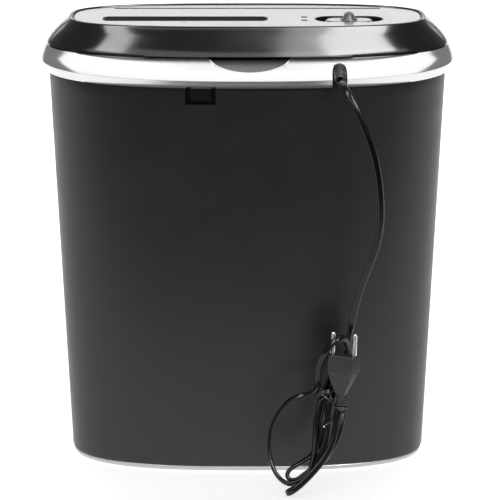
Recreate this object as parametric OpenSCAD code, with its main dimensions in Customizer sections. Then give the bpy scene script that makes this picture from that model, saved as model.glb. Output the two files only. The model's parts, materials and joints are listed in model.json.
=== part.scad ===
// Household paper and disc shredder: drafted waste bin with a lift-off cutting head.
// Front of the machine is -Y, the mains lead leaves the back (+Y), millimetres.

/* [Bin] */
// Half length of the bin at its rim
bin_half_x = 163.6; // [150:0.2:168]
// Half depth of the bin at its rim
bin_half_y = 86.2; // [80:0.2:88]
// Height of the bin rim
bin_height = 334; // [330:0.5:334]
// Half length of the bin just above its bottom edge
foot_half_x = 147.5; // [140:0.5:155]
// Half depth of the bin just above its bottom edge
foot_half_y = 73; // [66:0.5:78]
// Wall thickness of the bin
bin_wall = 2.2; // [1.6:0.1:3]

/* [Head] */
// Half length of the silver ring at its widest crease
ring_half_x = 170; // [168:0.5:175]
// Half depth of the silver ring at its widest crease
ring_half_y = 98; // [95:0.5:102]
// Half length of the black cover at its base
cover_half_x = 164.7; // [162:0.1:166]
// Half depth of the black cover at its base
cover_half_y = 65; // [63:0.5:67]
// Half length of the black cover at its top rim
rim_half_x = 146.5; // [144:0.5:148]
// Half depth of the black cover at its top rim
rim_half_y = 51; // [49:0.5:53]
// Height of the deck in the middle of the machine
deck_z = 371.3; // [371:0.1:372]
// Fall of the deck towards the front, as a slope
deck_slope = 0.022; // [0:0.001:0.03]

/* [Slots] */
// Length of the paper slot
paper_slot_l = 222; // [216:1:224]
// Width of the paper slot
paper_slot_w = 5; // [4.6:0.2:6]
// Length of the disc slot
disc_slot_l = 127; // [124:1:128]
// Width of the disc slot
disc_slot_w = 7; // [6:0.5:8]

/* [Mechanism] */
// Distance between the two cutter shafts
cutter_centres = 30; // [29:0.5:30]
// Radius of a cutter disc
disc_r = 17; // [16:0.25:17]
// Pitch of the cutter discs along a shaft
disc_pitch = 8; // [7.8:0.1:8]
// Thickness of one cutter disc
disc_t = 3.6; // [3:0.1:3.8]
// Number of cutter discs on a shaft
disc_count = 27; // [21:2:27]
// Radius of the motor can
motor_r = 19; // [17:0.5:19]

/* [Mains lead] */
// Outer diameter of the lead's plain tube
lead_d = 5; // [4.4:0.1:5.4]
// Diameter of a plug pin
pin_d = 4; // [3.8:0.1:4.1]
// Spacing of the two plug pins
pin_spacing = 18.6; // [18:0.1:19]

/* [Hidden] */
$fn = 48;
gap = 0.3;
ring_points = 72;
deck_tilt = atan(deck_slope);
deck_down = 4;
paper_y = -32.3;
disc_slot_x = 51;
disc_slot_y = 12;
disc_recess_l = 136;
disc_recess_w = 20;
switch_x = -83.4;
switch_y = 13.1;
switch_recess_l = 57;
switch_recess_w = 25.8;
switch_floor = -4.5;
led_x = -46.8;
led_y = [5, 18.4];
led_w = 5.3;
lever_x = -10.5;
lever_pin = [-45.5, 360];
bush_at = [-74.5, 82, 342.5];
bush_r = 5;
bush_tip_y = 108;
tab_x = 37.8;
grip_at = [-2, 49.8];
grip_r = 36.4;
foot_z = 4.4;
lip_z = 331;
crease_z = 339;
shoulder_z = 350.1;
flange_z = 334.3;
flange_t = 2;
cover_z = 351;
tray_floor_z = 270.5;
board_z = 350.2;
board_t = 1.6;

// Gear train, seen in the plane across the shafts as [y, z]
shaft_a = [-8, 306];
shaft_b = [shaft_a[0] - cutter_centres, shaft_a[1]];
centre_1 = [31, 295];
teeth_motor = 10;
teeth_1 = 50;
teeth_1_out = 10;
teeth_2 = 44;
teeth_2_out = 11;
teeth_drive = 30;
teeth_sync = 20;
module_1 = 0.8;
module_2 = 1;
module_3 = 1.5;
pressure_angle = 25;
reach_1 = module_1 * (teeth_motor + teeth_1) / 2;
reach_2 = module_2 * (teeth_1_out + teeth_2) / 2;
reach_3 = module_3 * (teeth_2_out + teeth_drive) / 2;
motor_at = centre_1 + reach_1 * [cos(73), sin(73)];
span_a1 = norm(centre_1 - shaft_a);
along_a1 = (centre_1 - shaft_a) / span_a1;
foot_a1 = (reach_3 * reach_3 - reach_2 * reach_2 + span_a1 * span_a1) / (2 * span_a1);
rise_a1 = sqrt(reach_3 * reach_3 - foot_a1 * foot_a1);
centre_2 = shaft_a + foot_a1 * along_a1 + rise_a1 * [-along_a1[1], along_a1[0]];
plate_x = 113;
plate_t = 2;
shaft_r = 5;
axle_r = 3;
run_fit = 0.05;
motor_x = [-111.5, -36];
post_at = [[132, -36], [134, 35], [-134, 35], [-132, -37]];
board_post_at = [[-104, 31], [-76, 36], [-48, 34]];
rod_at = [[-50, 281], [12, 279], [-50, 336], [13, 337]];

// Route of the lead from the bush to the hank
lead_route = [[-75, 108, 342], [-77, 118, 340], [-82, 127, 333], [-88, 132, 322], [-95, 135, 306],
              [-101, 136, 288], [-105, 135, 268], [-107, 133, 248], [-107, 130, 228], [-104, 126, 209],
              [-98, 121, 190], [-92, 115, 170], [-87, 109, 151], [-83, 103, 134], [-79, 98, 120],
              [-74, 95, 111]];
// Route of the wide loop, out of the tie and round to the foot of the hank
loop_route = [[-55, 103, 83], [-47, 103, 82], [-39, 104, 77], [-31, 107, 69], [-24, 110, 59],
              [-19, 113, 47], [-18, 117, 35], [-19, 121, 25], [-23, 126, 17], [-29, 131, 10],
              [-36, 135, 6], [-43, 136, 5]];
// Route of the tail, from the foot of the hank up to the plug
tail_route = [[-60, 130, 22], [-65, 127, 33], [-70, 123, 45], [-74, 119, 57], [-76, 117, 67]];
hank_foot = [-41, 131, 16];
hank_top = [-68, 94, 106];
hank_w = 27;
hank_t = 13;
plug_foot = [-76, 117, 67];
plug_lean = [6, -2, -6];
plug_turn = -14;

// ---------- geometry helpers ----------

// One closed superellipse ring of points; slope tips it about the X axis
function ring(a, b, n, z, slope = 0) =
    [for (i = [0:ring_points - 1])
        let (t = 360 * i / ring_points,
             x = a * sign(cos(t)) * pow(abs(cos(t)), 2 / n),
             y = b * sign(sin(t)) * pow(abs(sin(t)), 2 / n))
        [x, y, z + slope * y]];

function flat_ring(a, b, n) = [for (p = ring(a, b, n, 0)) [p[0], p[1]]];

// Skin through rings that run counter-clockwise seen from the last one
module skin(rings, closed = false) {
    m = len(rings[0]);
    k = len(rings);
    last = closed ? k - 1 : k - 2;
    sides = [for (j = [0:last], i = [0:m - 1])
                let (a = j * m + i, b = j * m + (i + 1) % m,
                     c = ((j + 1) % k) * m + i, d = ((j + 1) % k) * m + (i + 1) % m)
                each [[a, c, b], [b, c, d]]];
    caps = closed ? [] : [for (i = [1:m - 2])
                each [[0, i, i + 1], [(k - 1) * m, (k - 1) * m + i + 1, (k - 1) * m + i]]];
    polyhedron([for (r = rings) each r], concat(sides, caps), convexity = 8);
}

function unit(v) = v / norm(v);

// Smooth curve through hand-set points, with a few steps between each pair
function bend(p, steps) =
    let (n = len(p))
    concat([for (i = [0:n - 2], s = [0:steps - 1])
        let (t = s / steps, p0 = p[max(i - 1, 0)], p1 = p[i], p2 = p[i + 1], p3 = p[min(i + 2, n - 1)])
        0.5 * (2 * p1 + (p2 - p0) * t + (2 * p0 - 5 * p1 + 4 * p2 - p3) * t * t
               + (3 * p1 - p0 - 3 * p2 + p3) * t * t * t)], [p[n - 1]]);

// Round tube swept along a route; ref is a direction the route never points along
module tube(route, r, sides, ref) {
    n = len(route);
    skin([for (i = [0:n - 1])
        let (t = unit(route[min(i + 1, n - 1)] - route[max(i - 1, 0)]),
             u = unit(cross(t, ref)), w = cross(t, u))
        [for (k = [0:sides - 1]) route[i] + r * (cos(360 * k / sides) * u + sin(360 * k / sides) * w)]]);
}

// Draws in the [y, z] plane and extrudes along +X from x
module along_x(x, at = [0, 0]) { translate([x, at[0], at[1]]) rotate([90, 0, 90]) children(); }

// Works in the plane of the sloping deck, with z = 0 on the plate's top
module on_deck() { translate([0, 0, deck_z]) rotate([deck_tilt, 0, 0]) children(); }

module stadium(l, w) {
    square([l - w, w], center = true);
    for (s = [-1, 1]) translate([s * (l - w) / 2, 0]) circle(d = w);
}

module round_box(x, y, z, r) {
    linear_extrude(z) for (s = [0, 1]) square([x - 2 * r * s, y - 2 * r * (1 - s)], center = true);
    for (sx = [-1, 1], sy = [-1, 1]) translate([sx * (x / 2 - r), sy * (y / 2 - r), 0]) cylinder(r = r, h = z);
}

// Pan-head screw pointing along +Z, its head below z = 0
module screw(d, l) {
    cylinder(d = d, h = l);
    difference() {
        translate([0, 0, -0.7 * d]) cylinder(d = 1.9 * d, h = 0.7 * d);
        for (a = [0, 90]) rotate([0, 0, a])
            translate([0, 0, -0.7 * d]) cube([1.4 * d, 0.3 * d, 0.6 * d], center = true);
    }
}

// ---------- involute gears ----------

function involute(rb, r) = let (c = min(rb / r, 1)) sqrt(1 / (c * c) - 1) * 180 / PI - acos(c);

function gear_outline(teeth, m, phase) =
    let (rp = m * teeth / 2, rb = rp * cos(pressure_angle), ra = rp + 0.8 * m, rr = rp - 1.05 * m,
         rs = max(rb, rr), steps = 3, slack = 0.12 * m,
         half = 90 / teeth - slack / rp * 45 / PI + involute(rb, rp),
         flank = [for (i = [0:steps]) let (r = rs + (ra - rs) * i / steps) [r, half - involute(rb, r)]],
         foot = [rr, half - involute(rb, rs)],
         tooth = concat([[foot[0], -foot[1]]], [for (f = flank) [f[0], -f[1]]],
                        [for (i = [steps:-1:0]) flank[i]], [foot]))
    [for (k = [0:teeth - 1], p = tooth) p[0] * [cos(phase + 360 * k / teeth + p[1]),
                                               sin(phase + 360 * k / teeth + p[1])]];

function heading(from, to) = atan2(to[1] - from[1], to[0] - from[0]);

// A driver points a tooth at its mate, and the mate meets it with a gap
function driver_phase(at, mate) = heading(at, mate);
function mate_phase(at, driver, teeth) = heading(at, driver) + 180 / teeth;

module gear(x, at, teeth, m, width, bore, phase) {
    along_x(x, at) linear_extrude(width) difference() {
        polygon(gear_outline(teeth, m, phase));
        circle(r = bore);
    }
}

// ---------- casings ----------

function bin_x(z) = foot_half_x + (bin_half_x - foot_half_x) * (z - foot_z) / (bin_height - foot_z);
function bin_y(z) = foot_half_y + (bin_half_y - foot_half_y) * (z - foot_z) / (bin_height - foot_z);

module bin_shell() {
    floor_t = 3;
    color([0.12, 0.12, 0.13]) difference() {
        union() {
            skin(concat(
                [ring(foot_half_x - 2.6, foot_half_y - 2.2, 2.7, 0),
                 ring(foot_half_x - 1, foot_half_y - 0.8, 2.7, 1.6)],
                [for (z = [foot_z, 170, bin_height]) ring(bin_x(z), bin_y(z), 2.65, z)],
                [for (z = [bin_height, floor_t + 3]) ring(bin_x(z) - bin_wall, bin_y(z) - bin_wall, 2.65, z)],
                [ring(foot_half_x - bin_wall - 3, foot_half_y - bin_wall - 3, 2.65, floor_t)]));
            // lug that presses the interlock plunger
            translate([154, -6, 324]) cube([8, 12, bin_height - 324]);
        }
        // notch for the locating tab, in the back wall
        translate([tab_x - 12.3, 74, 316.5]) cube([24.6, 20, 20]);
    }
}

module trim_ring() {
    color([0.78, 0.79, 0.80]) difference() {
        skin([ring(ring_half_x - 3, ring_half_y - 7.5, 2.6, lip_z),
              ring(ring_half_x - 0.3, ring_half_y - 0.7, 2.52, crease_z - 1),
              ring(ring_half_x, ring_half_y, 2.5, crease_z),
              ring(ring_half_x - 0.4, ring_half_y - 1.4, 2.5, crease_z + 1),
              ring(167.9, 82, 2.52, 345.4),
              ring(165.6, 66.2, 2.6, shoulder_z),
              ring(158, 60, 2.6, shoulder_z + 0.5),
              ring(158, 60, 2.6, 348.4),
              ring(164.5, 70, 2.55, 345.9),
              ring(ring_half_x - 3, ring_half_y - 4, 2.5, 337.6),
              ring(ring_half_x - 5.2, ring_half_y - 9.5, 2.6, lip_z)], closed = true);
        // finger grips, back and front
        for (s = [-1, 1]) translate([grip_at[0], s * grip_at[1], 325]) cylinder(r = grip_r, h = 40, $fn = 96);
        // notch for the lead's bush
        translate([bush_at[0], 70, bush_at[2]]) rotate([-90, 0, 0]) cylinder(r = 6, h = 40);
        translate([bush_at[0] - 6, 70, 320]) cube([12, 40, bush_at[2] - 320]);
    }
    // lip that closes the ring below each finger grip
    color([0.78, 0.79, 0.80]) for (s = [-1, 1]) grip_lip(s);
}

module grip_lip(s) {
    intersection() {
        skin([ring(ring_half_x - 3, ring_half_y - 7.5, 2.6, lip_z),
              ring(ring_half_x - 0.3, ring_half_y - 0.7, 2.52, crease_z - 1),
              ring(ring_half_x - 4, ring_half_y - 12.2, 2.52, 342.5),
              ring(ring_half_x - 7, ring_half_y - 14.2, 2.52, 341.5),
              ring(ring_half_x - 5.2, ring_half_y - 9.5, 2.6, lip_z)], closed = true);
        translate([grip_at[0], s * grip_at[1], 325]) cylinder(r = grip_r + gap, h = 40, $fn = 96);
        translate([-60, s > 0 ? 60 : -120, 320]) cube([120, 60, 40]);
    }
}

module grip_inserts() {
    color([0.45, 0.45, 0.46]) for (s = [0, 180]) rotate([0, 0, s])
        translate([s == 0 ? grip_at[0] : -grip_at[0], 0, 0]) intersection() {
            translate([0, grip_at[1], 325]) cylinder(r = grip_r - gap, h = 40, $fn = 96);
            along_x(-40) linear_extrude(80)
                polygon([[58.5, 347.2], [83.4, 342.2], [87, 341.2], [87, 339], [60, 344.6], [60, 343], [58.5, 343]]);
        }
}

module cover_cuts() {
    on_deck() {
        translate([0, paper_y, -12]) linear_extrude(20) stadium(paper_slot_l, paper_slot_w);
        translate([disc_slot_x, disc_slot_y, -12]) round_box(disc_recess_l, disc_recess_w, 20, 6);
        translate([switch_x, switch_y, -12]) linear_extrude(20) stadium(switch_recess_l, switch_recess_w);
        for (y = led_y) translate([led_x - led_w / 2, y - led_w / 2, -12]) cube([led_w, led_w, 20]);
    }
}

module top_cover() {
    recess = -1.5;
    color([0.05, 0.05, 0.06]) difference() {
        union() {
            difference() {
                skin([ring(cover_half_x - 2.4, cover_half_y - 2.4, 2.6, cover_z),
                      ring(cover_half_x, cover_half_y, 2.6, cover_z),
                      ring(cover_half_x - 0.3, cover_half_y - 0.2, 2.6, cover_z + 1),
                      ring((cover_half_x + rim_half_x) / 2 + 0.4, (cover_half_y + rim_half_y) / 2 + 0.4, 2.8,
                           (cover_z + deck_z) / 2, deck_slope / 2),
                      ring(rim_half_x + 0.3, rim_half_y + 0.3, 3, deck_z - 0.6, deck_slope),
                      ring(rim_half_x - 0.8, rim_half_y - 0.8, 3, deck_z + 0.5, deck_slope),
                      ring(rim_half_x - 4.6, rim_half_y - 4.2, 3, deck_z + 0.5, deck_slope),
                      ring(rim_half_x - 5.2, rim_half_y - 4.8, 3, deck_z, deck_slope),
                      ring(rim_half_x - 5.2, rim_half_y - 4.8, 3, deck_z + recess, deck_slope)]);
                skin([ring(cover_half_x - 2.4, cover_half_y - 2.4, 2.6, cover_z - 1),
                      ring(cover_half_x - 2.8, cover_half_y - 2.6, 2.6, cover_z + 1),
                      ring(rim_half_x - 2.4, rim_half_y - 2.4, 3, deck_z - deck_down - 0.4, deck_slope)]);
            }
            // bosses for the screws that come up through the head base
            for (p = post_at) translate([p[0], p[1], 352.2]) cylinder(r = 3.2, h = 7.8);
            // pillars that carry the circuit board
            for (p = board_post_at) translate([p[0], p[1], board_z + board_t]) cylinder(r = 2.6, h = 16);
        }
        cover_cuts();
        for (p = post_at) translate([p[0], p[1], 350]) cylinder(d = 2.4, h = 8);
        for (p = board_post_at) translate([p[0], p[1], 350]) cylinder(d = 1.8, h = 10);
    }
}

module control_plate() {
    color([0.86, 0.87, 0.88]) difference() {
        on_deck() translate([0, 0, -1.3]) linear_extrude(1.3)
            polygon(flat_ring(rim_half_x - 6.1, rim_half_y - 5.7, 3));
        cover_cuts();
    }
}

module disc_guide() {
    color([0.04, 0.04, 0.04]) difference() {
        on_deck() translate([disc_slot_x, disc_slot_y, -6])
            round_box(disc_recess_l - 0.2, disc_recess_w - 0.2, 6, 5.9);
        on_deck() translate([disc_slot_x, disc_slot_y, -7]) linear_extrude(10) stadium(disc_slot_l, disc_slot_w);
        on_deck() translate([disc_slot_x, disc_slot_y, 0]) funnel_cut();
    }
}

// Sloping mouth of the disc slot
module funnel_cut() {
    low = [disc_slot_l / 2 + 0.5, disc_slot_w / 2 + 0.5];
    high = [disc_recess_l / 2 - 1, disc_recess_w / 2 - 1];
    function frame_at(h, z) = [[h[0], h[1], z], [-h[0], h[1], z], [-h[0], -h[1], z], [h[0], -h[1], z]];
    skin([frame_at(low, -4.4), frame_at(high, -0.4), frame_at(high, 1)]);
}

module switch_bezel() {
    color([0.03, 0.03, 0.03]) on_deck() translate([switch_x, switch_y, 0]) difference() {
        translate([0, 0, -6]) linear_extrude(6) stadium(switch_recess_l - 0.2, switch_recess_w - 0.2);
        translate([0, 0, switch_floor]) linear_extrude(6) stadium(switch_recess_l - 2.4, switch_recess_w - 2.4);
        translate([-12, -2, -7]) cube([24, 4, 6]);
    }
}

module switch_slider() {
    color([0.80, 0.80, 0.81]) on_deck() translate([switch_x, switch_y, 0]) {
        translate([0, 0, switch_floor + gap]) linear_extrude(2.6) stadium(38, 17);
        translate([0, 0, switch_floor + gap + 2.6]) linear_extrude(1) stadium(36.4, 15.4);
        translate([-3, -1.5, -9]) cube([6, 3, 5.2]);
    }
}

module switch_knob() {
    base = switch_floor + gap + 3.6;
    color([0.70, 0.70, 0.71]) on_deck() translate([switch_x, switch_y - 7.7, base])
        rotate([90, 0, 180]) linear_extrude(15.4)
            polygon([[-7.5, 0], [7.5, 0], [6.6, 1.2], [3.4, 2.6], [2.4, 5.6], [1.2, 6.4], [-1.2, 6.4],
                     [-2.4, 5.6], [-3.4, 2.6], [-6.6, 1.2]]);
}

module switch_body() {
    color([0.10, 0.12, 0.16]) difference() {
        translate([switch_x - 15, switch_y - 6, 353.3]) cube([30, 12, 11.2]);
        translate([switch_x - 12, switch_y - 2.6, 361]) cube([24, 5.2, 8]);
    }
}

module led_windows() {
    color([0.05, 0.02, 0.02]) on_deck() for (y = led_y)
        translate([led_x - 2.55, y - 2.55, -7]) cube([5.1, 5.1, 6.8]);
}

module led_lamps() {
    color([0.6, 0.1, 0.1]) for (y = led_y) translate([led_x, y, 353.3]) {
        cylinder(d = 4, h = 0.8);
        cylinder(d = 3, h = 3.2);
    }
}

module circuit_board() {
    color([0.10, 0.32, 0.16]) difference() {
        translate([-114, 0.5, board_z]) cube([72, 43.5, board_t]);
        for (p = board_post_at) translate([p[0], p[1], 349]) cylinder(d = 2.4, h = 4);
    }
    color([0.10, 0.32, 0.16]) translate([-108, 1.5, board_z + board_t]) cube([64, 20, 1.5]);
}

module board_parts() {
    color([0.15, 0.15, 0.30]) translate([-70, 26, board_z + board_t]) cube([16, 8, 11]);
    color([0.75, 0.60, 0.20]) translate([-90, 24, board_z + board_t]) cube([10, 14, 9]);
    color([0.20, 0.20, 0.20]) translate([-110, 24.5, board_z + board_t]) cube([4, 3.5, 6]);
    for (x = [-96, -64]) color([0.10, 0.10, 0.12]) translate([x, 38, board_z + board_t]) cylinder(d = 6, h = 9);
}

module board_screws() {
    color([0.7, 0.7, 0.7]) for (p = board_post_at) translate([p[0], p[1], board_z]) screw(1.8, 8);
}

module head_base() {
    color([0.16, 0.16, 0.17]) difference() {
        union() {
            skin([ring(148, 74, 2.8, 268), ring(150, 76, 2.8, 270), ring(153, 78.6, 2.8, flange_z),
                  ring(163.4, 85.9, 2.6, flange_z), ring(163.4, 85.9, 2.6, flange_z + flange_t),
                  ring(150.5, 76.2, 2.8, flange_z + flange_t), ring(147.5, 73.5, 2.8, tray_floor_z)]);
            for (p = post_at) translate([p[0], p[1], 0]) {
                translate([0, 0, tray_floor_z - 0.5]) cylinder(r = 3.2, h = 352.5 - tray_floor_z);
                translate([0, 0, tray_floor_z - 0.5]) cylinder(r = 4.4, h = 6.5);
            }
            // shelf under the cable clamp
            translate([-88, 57, 333]) cube([27, 17, 3.3]);
        }
        for (p = post_at) translate([p[0], p[1], 260]) {
            cylinder(d = 6.4, h = 14);
            cylinder(d = 3.2, h = 100);
        }
        translate([-111, -55, 260]) cube([222, 63, 20]);
        translate([158, 0, 330]) cylinder(r = 2 + run_fit, h = 10);
        for (x = [-82, -67]) translate([x, 65, 330]) cylinder(d = 2.4, h = 10);
    }
}

module cover_screws() {
    color([0.7, 0.7, 0.7]) for (p = post_at) translate([p[0], p[1], 274]) {
        translate([0, 0, -2.2]) cylinder(d = 5.6, h = 2.2);
        cylinder(d = 2.4, h = 83);
    }
}

module chute_guard() {
    color([0.20, 0.20, 0.21]) difference() {
        translate([-110.8, -54.8, 268.2]) cube([221.6, 62.6, 2.2]);
        for (i = [0:3]) translate([-108 + 54.5 * i, -52, 260]) cube([52.5, 57, 20]);
    }
}

module locating_tab() {
    color([0.10, 0.10, 0.11]) union() {
        translate([tab_x - 8.2, 81.6, 319.5]) cube([16.4, 3, 14.8]);
        translate([tab_x - 8.2, 78.8, 331.6]) cube([16.4, 2.8, 2.7]);
        translate([tab_x - 5, 79, 321]) cube([3, 2.6, 10.6]);
        translate([tab_x + 2, 79, 321]) cube([3, 2.6, 10.6]);
    }
}

// ---------- paper and disc throats ----------

module throat_front() {
    color([0.22, 0.22, 0.23]) difference() {
        along_x(-112.8) linear_extrude(225.6)
            polygon([[-37.6, 366], [-35.4, 366], [-26.3, 330], [-26.3, 326], [-28.3, 326], [-28.3, 330]]);
        translate([lever_x - 3, -48, 344]) cube([6, 20, 30]);
    }
}

module throat_divider() {
    color([0.22, 0.22, 0.23]) along_x(-112.8) linear_extrude(225.6)
        polygon([[-29.2, 366], [-27.2, 366], [-19.2, 334], [4.6, 363.8], [6.9, 363.8], [-17.4, 328],
                 [-17.4, 326], [-21.4, 326], [-21.4, 330]]);
}

module throat_rear() {
    color([0.22, 0.22, 0.23]) along_x(-20) linear_extrude(132.8)
        polygon([[16.6, 363.8], [18.8, 363.8], [8, 348], [-8.8, 328.4], [-11, 328.4], [6, 349]]);
}

// ---------- cutting unit ----------

module side_plate_outline(rear) {
    difference() {
        polygon([[-56, 271], [-56, 326], [-46, 342], [rear - 8, 342], [rear, 334], [rear, 283], [rear - 12, 271]]);
        for (c = [shaft_a, shaft_b]) translate(c) circle(r = 7);
        for (c = rod_at) translate(c) circle(r = 2.5);
    }
}

module side_plate_left() {
    color([0.62, 0.63, 0.65]) along_x(-plate_x - plate_t) linear_extrude(plate_t) difference() {
        side_plate_outline(53);
        translate(motor_at) circle(r = 4.5);
        for (a = [20, 200]) translate(motor_at + 12.5 * [cos(a), sin(a)]) circle(r = 1.5);
        translate(centre_1) circle(r = axle_r);
        translate(centre_2) circle(r = axle_r);
    }
}

module side_plate_right() {
    color([0.62, 0.63, 0.65]) along_x(plate_x) linear_extrude(plate_t) side_plate_outline(20);
}

module tie_rods() {
    color([0.70, 0.70, 0.72]) for (c = rod_at)
        along_x(-plate_x - plate_t - 4, c) cylinder(r = 2.5, h = 2 * (plate_x + plate_t + 4));
}

module tie_rod_nuts() {
    color([0.66, 0.66, 0.68]) for (c = rod_at, x = [-plate_x - plate_t - 3, plate_x + plate_t])
        along_x(x, c) difference() {
            cylinder(r = 4.4, h = 3, $fn = 6);
            translate([0, 0, -1]) cylinder(r = 2.5, h = 5);
        }
}

module shaft_bushes() {
    color([0.70, 0.55, 0.25]) for (c = [shaft_a, shaft_b], x = [-plate_x - plate_t, plate_x])
        along_x(x, c) difference() {
            cylinder(r = 7, h = plate_t);
            translate([0, 0, -1]) cylinder(r = shaft_r + run_fit, h = 4);
        }
}

module comb(side, shift) {
    first = -disc_pitch * (disc_count - 1) / 2 + shift;
    tip = side > 0 ? shaft_a[0] + 11.5 : shaft_b[0] - 11.5;
    along_x(-plate_x + 0.2) linear_extrude(2 * plate_x - 0.4)
        polygon([for (p = [[19, -6], [22, -6], [22, 8], [19, 8]])
            [(side > 0 ? shaft_a[0] : shaft_b[0]) + side * p[0], shaft_a[1] + p[1]]]);
    for (i = [0:disc_count - 2])
        translate([first + disc_pitch * (i + 0.5) - 1.5, min(tip, tip + side * 8.5), shaft_a[1] - 5])
            cube([3, 8.5, 12]);
}

module stripper_comb_front() { color([0.85, 0.83, 0.76]) comb(-1, -disc_pitch / 4); }

module stripper_comb_rear() { color([0.85, 0.83, 0.76]) comb(1, disc_pitch / 4); }

module cutter_shaft(c, left, right) {
    color([0.55, 0.55, 0.57]) along_x(left, c) cylinder(r = shaft_r, h = right - left);
}

module cutter_shaft_a() { cutter_shaft(shaft_a, -138.5, 126); }

module cutter_shaft_b() { cutter_shaft(shaft_b, -118, 126); }

// Discs with hooked teeth on a common sleeve
module cutter_discs(c, shift, turn) {
    first = -disc_pitch * (disc_count - 1) / 2 + shift;
    color([0.45, 0.45, 0.47]) union() {
        for (i = [0:disc_count - 1])
            along_x(first + disc_pitch * i - disc_t / 2, c) linear_extrude(disc_t) difference() {
                circle(r = disc_r, $fn = 60);
                circle(r = shaft_r);
                for (a = [0:90:270]) rotate(a + turn + 15 * (i % 6))
                    polygon([[disc_r - 2.4, 0], [disc_r + 1, 0.4], [disc_r + 1, 5]]);
            }
        along_x(first - disc_t / 2, c) linear_extrude(disc_pitch * (disc_count - 1) + disc_t) difference() {
            circle(r = 9);
            circle(r = shaft_r);
        }
    }
}

module cutter_discs_a() { cutter_discs(shaft_a, disc_pitch / 4, 0); }

module cutter_discs_b() { cutter_discs(shaft_b, -disc_pitch / 4, 45); }

// ---------- drive ----------

module sync_gear_a() {
    color([0.80, 0.79, 0.74])
        gear(118, shaft_a, teeth_sync, module_3, 6, shaft_r, driver_phase(shaft_a, shaft_b));
}

module sync_gear_b() {
    color([0.80, 0.79, 0.74])
        gear(118, shaft_b, teeth_sync, module_3, 6, shaft_r, mate_phase(shaft_b, shaft_a, teeth_sync));
}

module drive_gear() {
    color([0.80, 0.79, 0.74])
        gear(-137, shaft_a, teeth_drive, module_3, 7, shaft_r, mate_phase(shaft_a, centre_2, teeth_drive));
}

module reduction_gear_1() {
    bore = axle_r + run_fit;
    color([0.86, 0.85, 0.80]) {
        gear(-121, centre_1, teeth_1, module_1, 4, bore, mate_phase(centre_1, motor_at, teeth_1));
        gear(-128, centre_1, teeth_1_out, module_2, 7, bore, driver_phase(centre_1, centre_2));
    }
}

module reduction_gear_2() {
    bore = axle_r + run_fit;
    color([0.86, 0.85, 0.80]) {
        gear(-128, centre_2, teeth_2, module_2, 5, bore, mate_phase(centre_2, centre_1, teeth_2));
        gear(-137, centre_2, teeth_2_out, module_3, 9, bore, driver_phase(centre_2, shaft_a));
    }
}

module gear_axles() {
    color([0.60, 0.60, 0.62]) {
        along_x(-130.5, centre_1) cylinder(r = axle_r, h = 130.5 - plate_x);
        along_x(-139.5, centre_2) cylinder(r = axle_r, h = 139.5 - plate_x);
    }
}

module axle_clips() {
    color([0.30, 0.30, 0.32]) for (c = [[-129.6, centre_1], [-138.6, centre_2]]) along_x(c[0], c[1]) difference() {
        cylinder(r = 5, h = 0.8);
        translate([0, 0, -1]) cylinder(r = axle_r, h = 3);
        translate([0, -1, -1]) cube([6, 2, 3]);
    }
}

module motor_can() {
    color([0.50, 0.50, 0.52]) along_x(motor_x[0], motor_at) difference() {
        cylinder(r = motor_r, h = motor_x[1] - motor_x[0]);
        translate([0, 0, 2]) cylinder(r = motor_r - 1.5, h = motor_x[1] - motor_x[0]);
        translate([0, 0, -1]) cylinder(r = 1.5 + run_fit, h = 4);
        for (a = [20, 200]) translate([12.5 * cos(a), 12.5 * sin(a), -1]) cylinder(r = 1.2, h = 4);
    }
}

module motor_magnets() {
    color([0.25, 0.25, 0.27]) along_x(motor_x[0] + 14, motor_at) linear_extrude(46) difference() {
        circle(r = motor_r - 1.5);
        circle(r = motor_r - 4.2);
        square([40, 8], center = true);
    }
}

module motor_end_bell() {
    color([0.88, 0.87, 0.82]) along_x(motor_x[1], motor_at) difference() {
        union() {
            cylinder(r = motor_r, h = 3);
            cylinder(r = 6, h = 7);
        }
        translate([0, 0, -1]) cylinder(r = 1.5 + run_fit, h = 6);
    }
}

module motor_screws() {
    color([0.7, 0.7, 0.7]) for (a = [20, 200])
        along_x(-plate_x - plate_t, motor_at + 12.5 * [cos(a), sin(a)]) screw(2.4, 5.2);
}

module rotor_shaft() {
    color([0.65, 0.65, 0.67]) along_x(-122, motor_at) cylinder(r = 1.5, h = 122 - 32.5);
}

module armature() {
    color([0.55, 0.33, 0.18]) along_x(motor_x[0] + 14, motor_at) {
        linear_extrude(44) difference() {
            circle(r = 14);
            circle(r = 1.5);
            for (a = [0:60:300]) rotate(a) translate([8, -1]) square([8, 2]);
        }
        translate([0, 0, 44]) linear_extrude(9) difference() {
            circle(r = 5);
            circle(r = 1.5);
        }
    }
}

module motor_fan() {
    color([0.85, 0.85, 0.80]) along_x(motor_x[0] + 4, motor_at) {
        linear_extrude(1.2) difference() {
            circle(r = 15);
            circle(r = 1.5);
        }
        linear_extrude(6) difference() {
            union() {
                circle(r = 4);
                for (a = [0:45:315]) rotate(a) translate([3, -0.6]) square([11.5, 1.2]);
            }
            circle(r = 1.5);
        }
    }
}

module motor_pinion() {
    color([0.72, 0.58, 0.28])
        gear(-121.5, motor_at, teeth_motor, module_1, 5, 1.5, driver_phase(motor_at, centre_1));
}

// ---------- sensing and interlock ----------

module sensor_lever() {
    color([0.88, 0.88, 0.86]) along_x(lever_x - 2, lever_pin) linear_extrude(4) difference() {
        union() {
            circle(r = 3.4);
            polygon([[0, 3.3], [0, -3.3], [8, -2.4], [14.4, -1.2], [15.2, 1], [14.2, 3.2], [8, 2.8]]);
            polygon([[-2, 0], [2, 0], [1.2, -9], [-1.2, -9]]);
        }
        circle(r = 1.5 + run_fit);
    }
}

module sensor_pin() {
    color([0.65, 0.65, 0.67]) along_x(lever_x - 5.5, lever_pin) cylinder(r = 1.5, h = 11);
}

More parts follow.
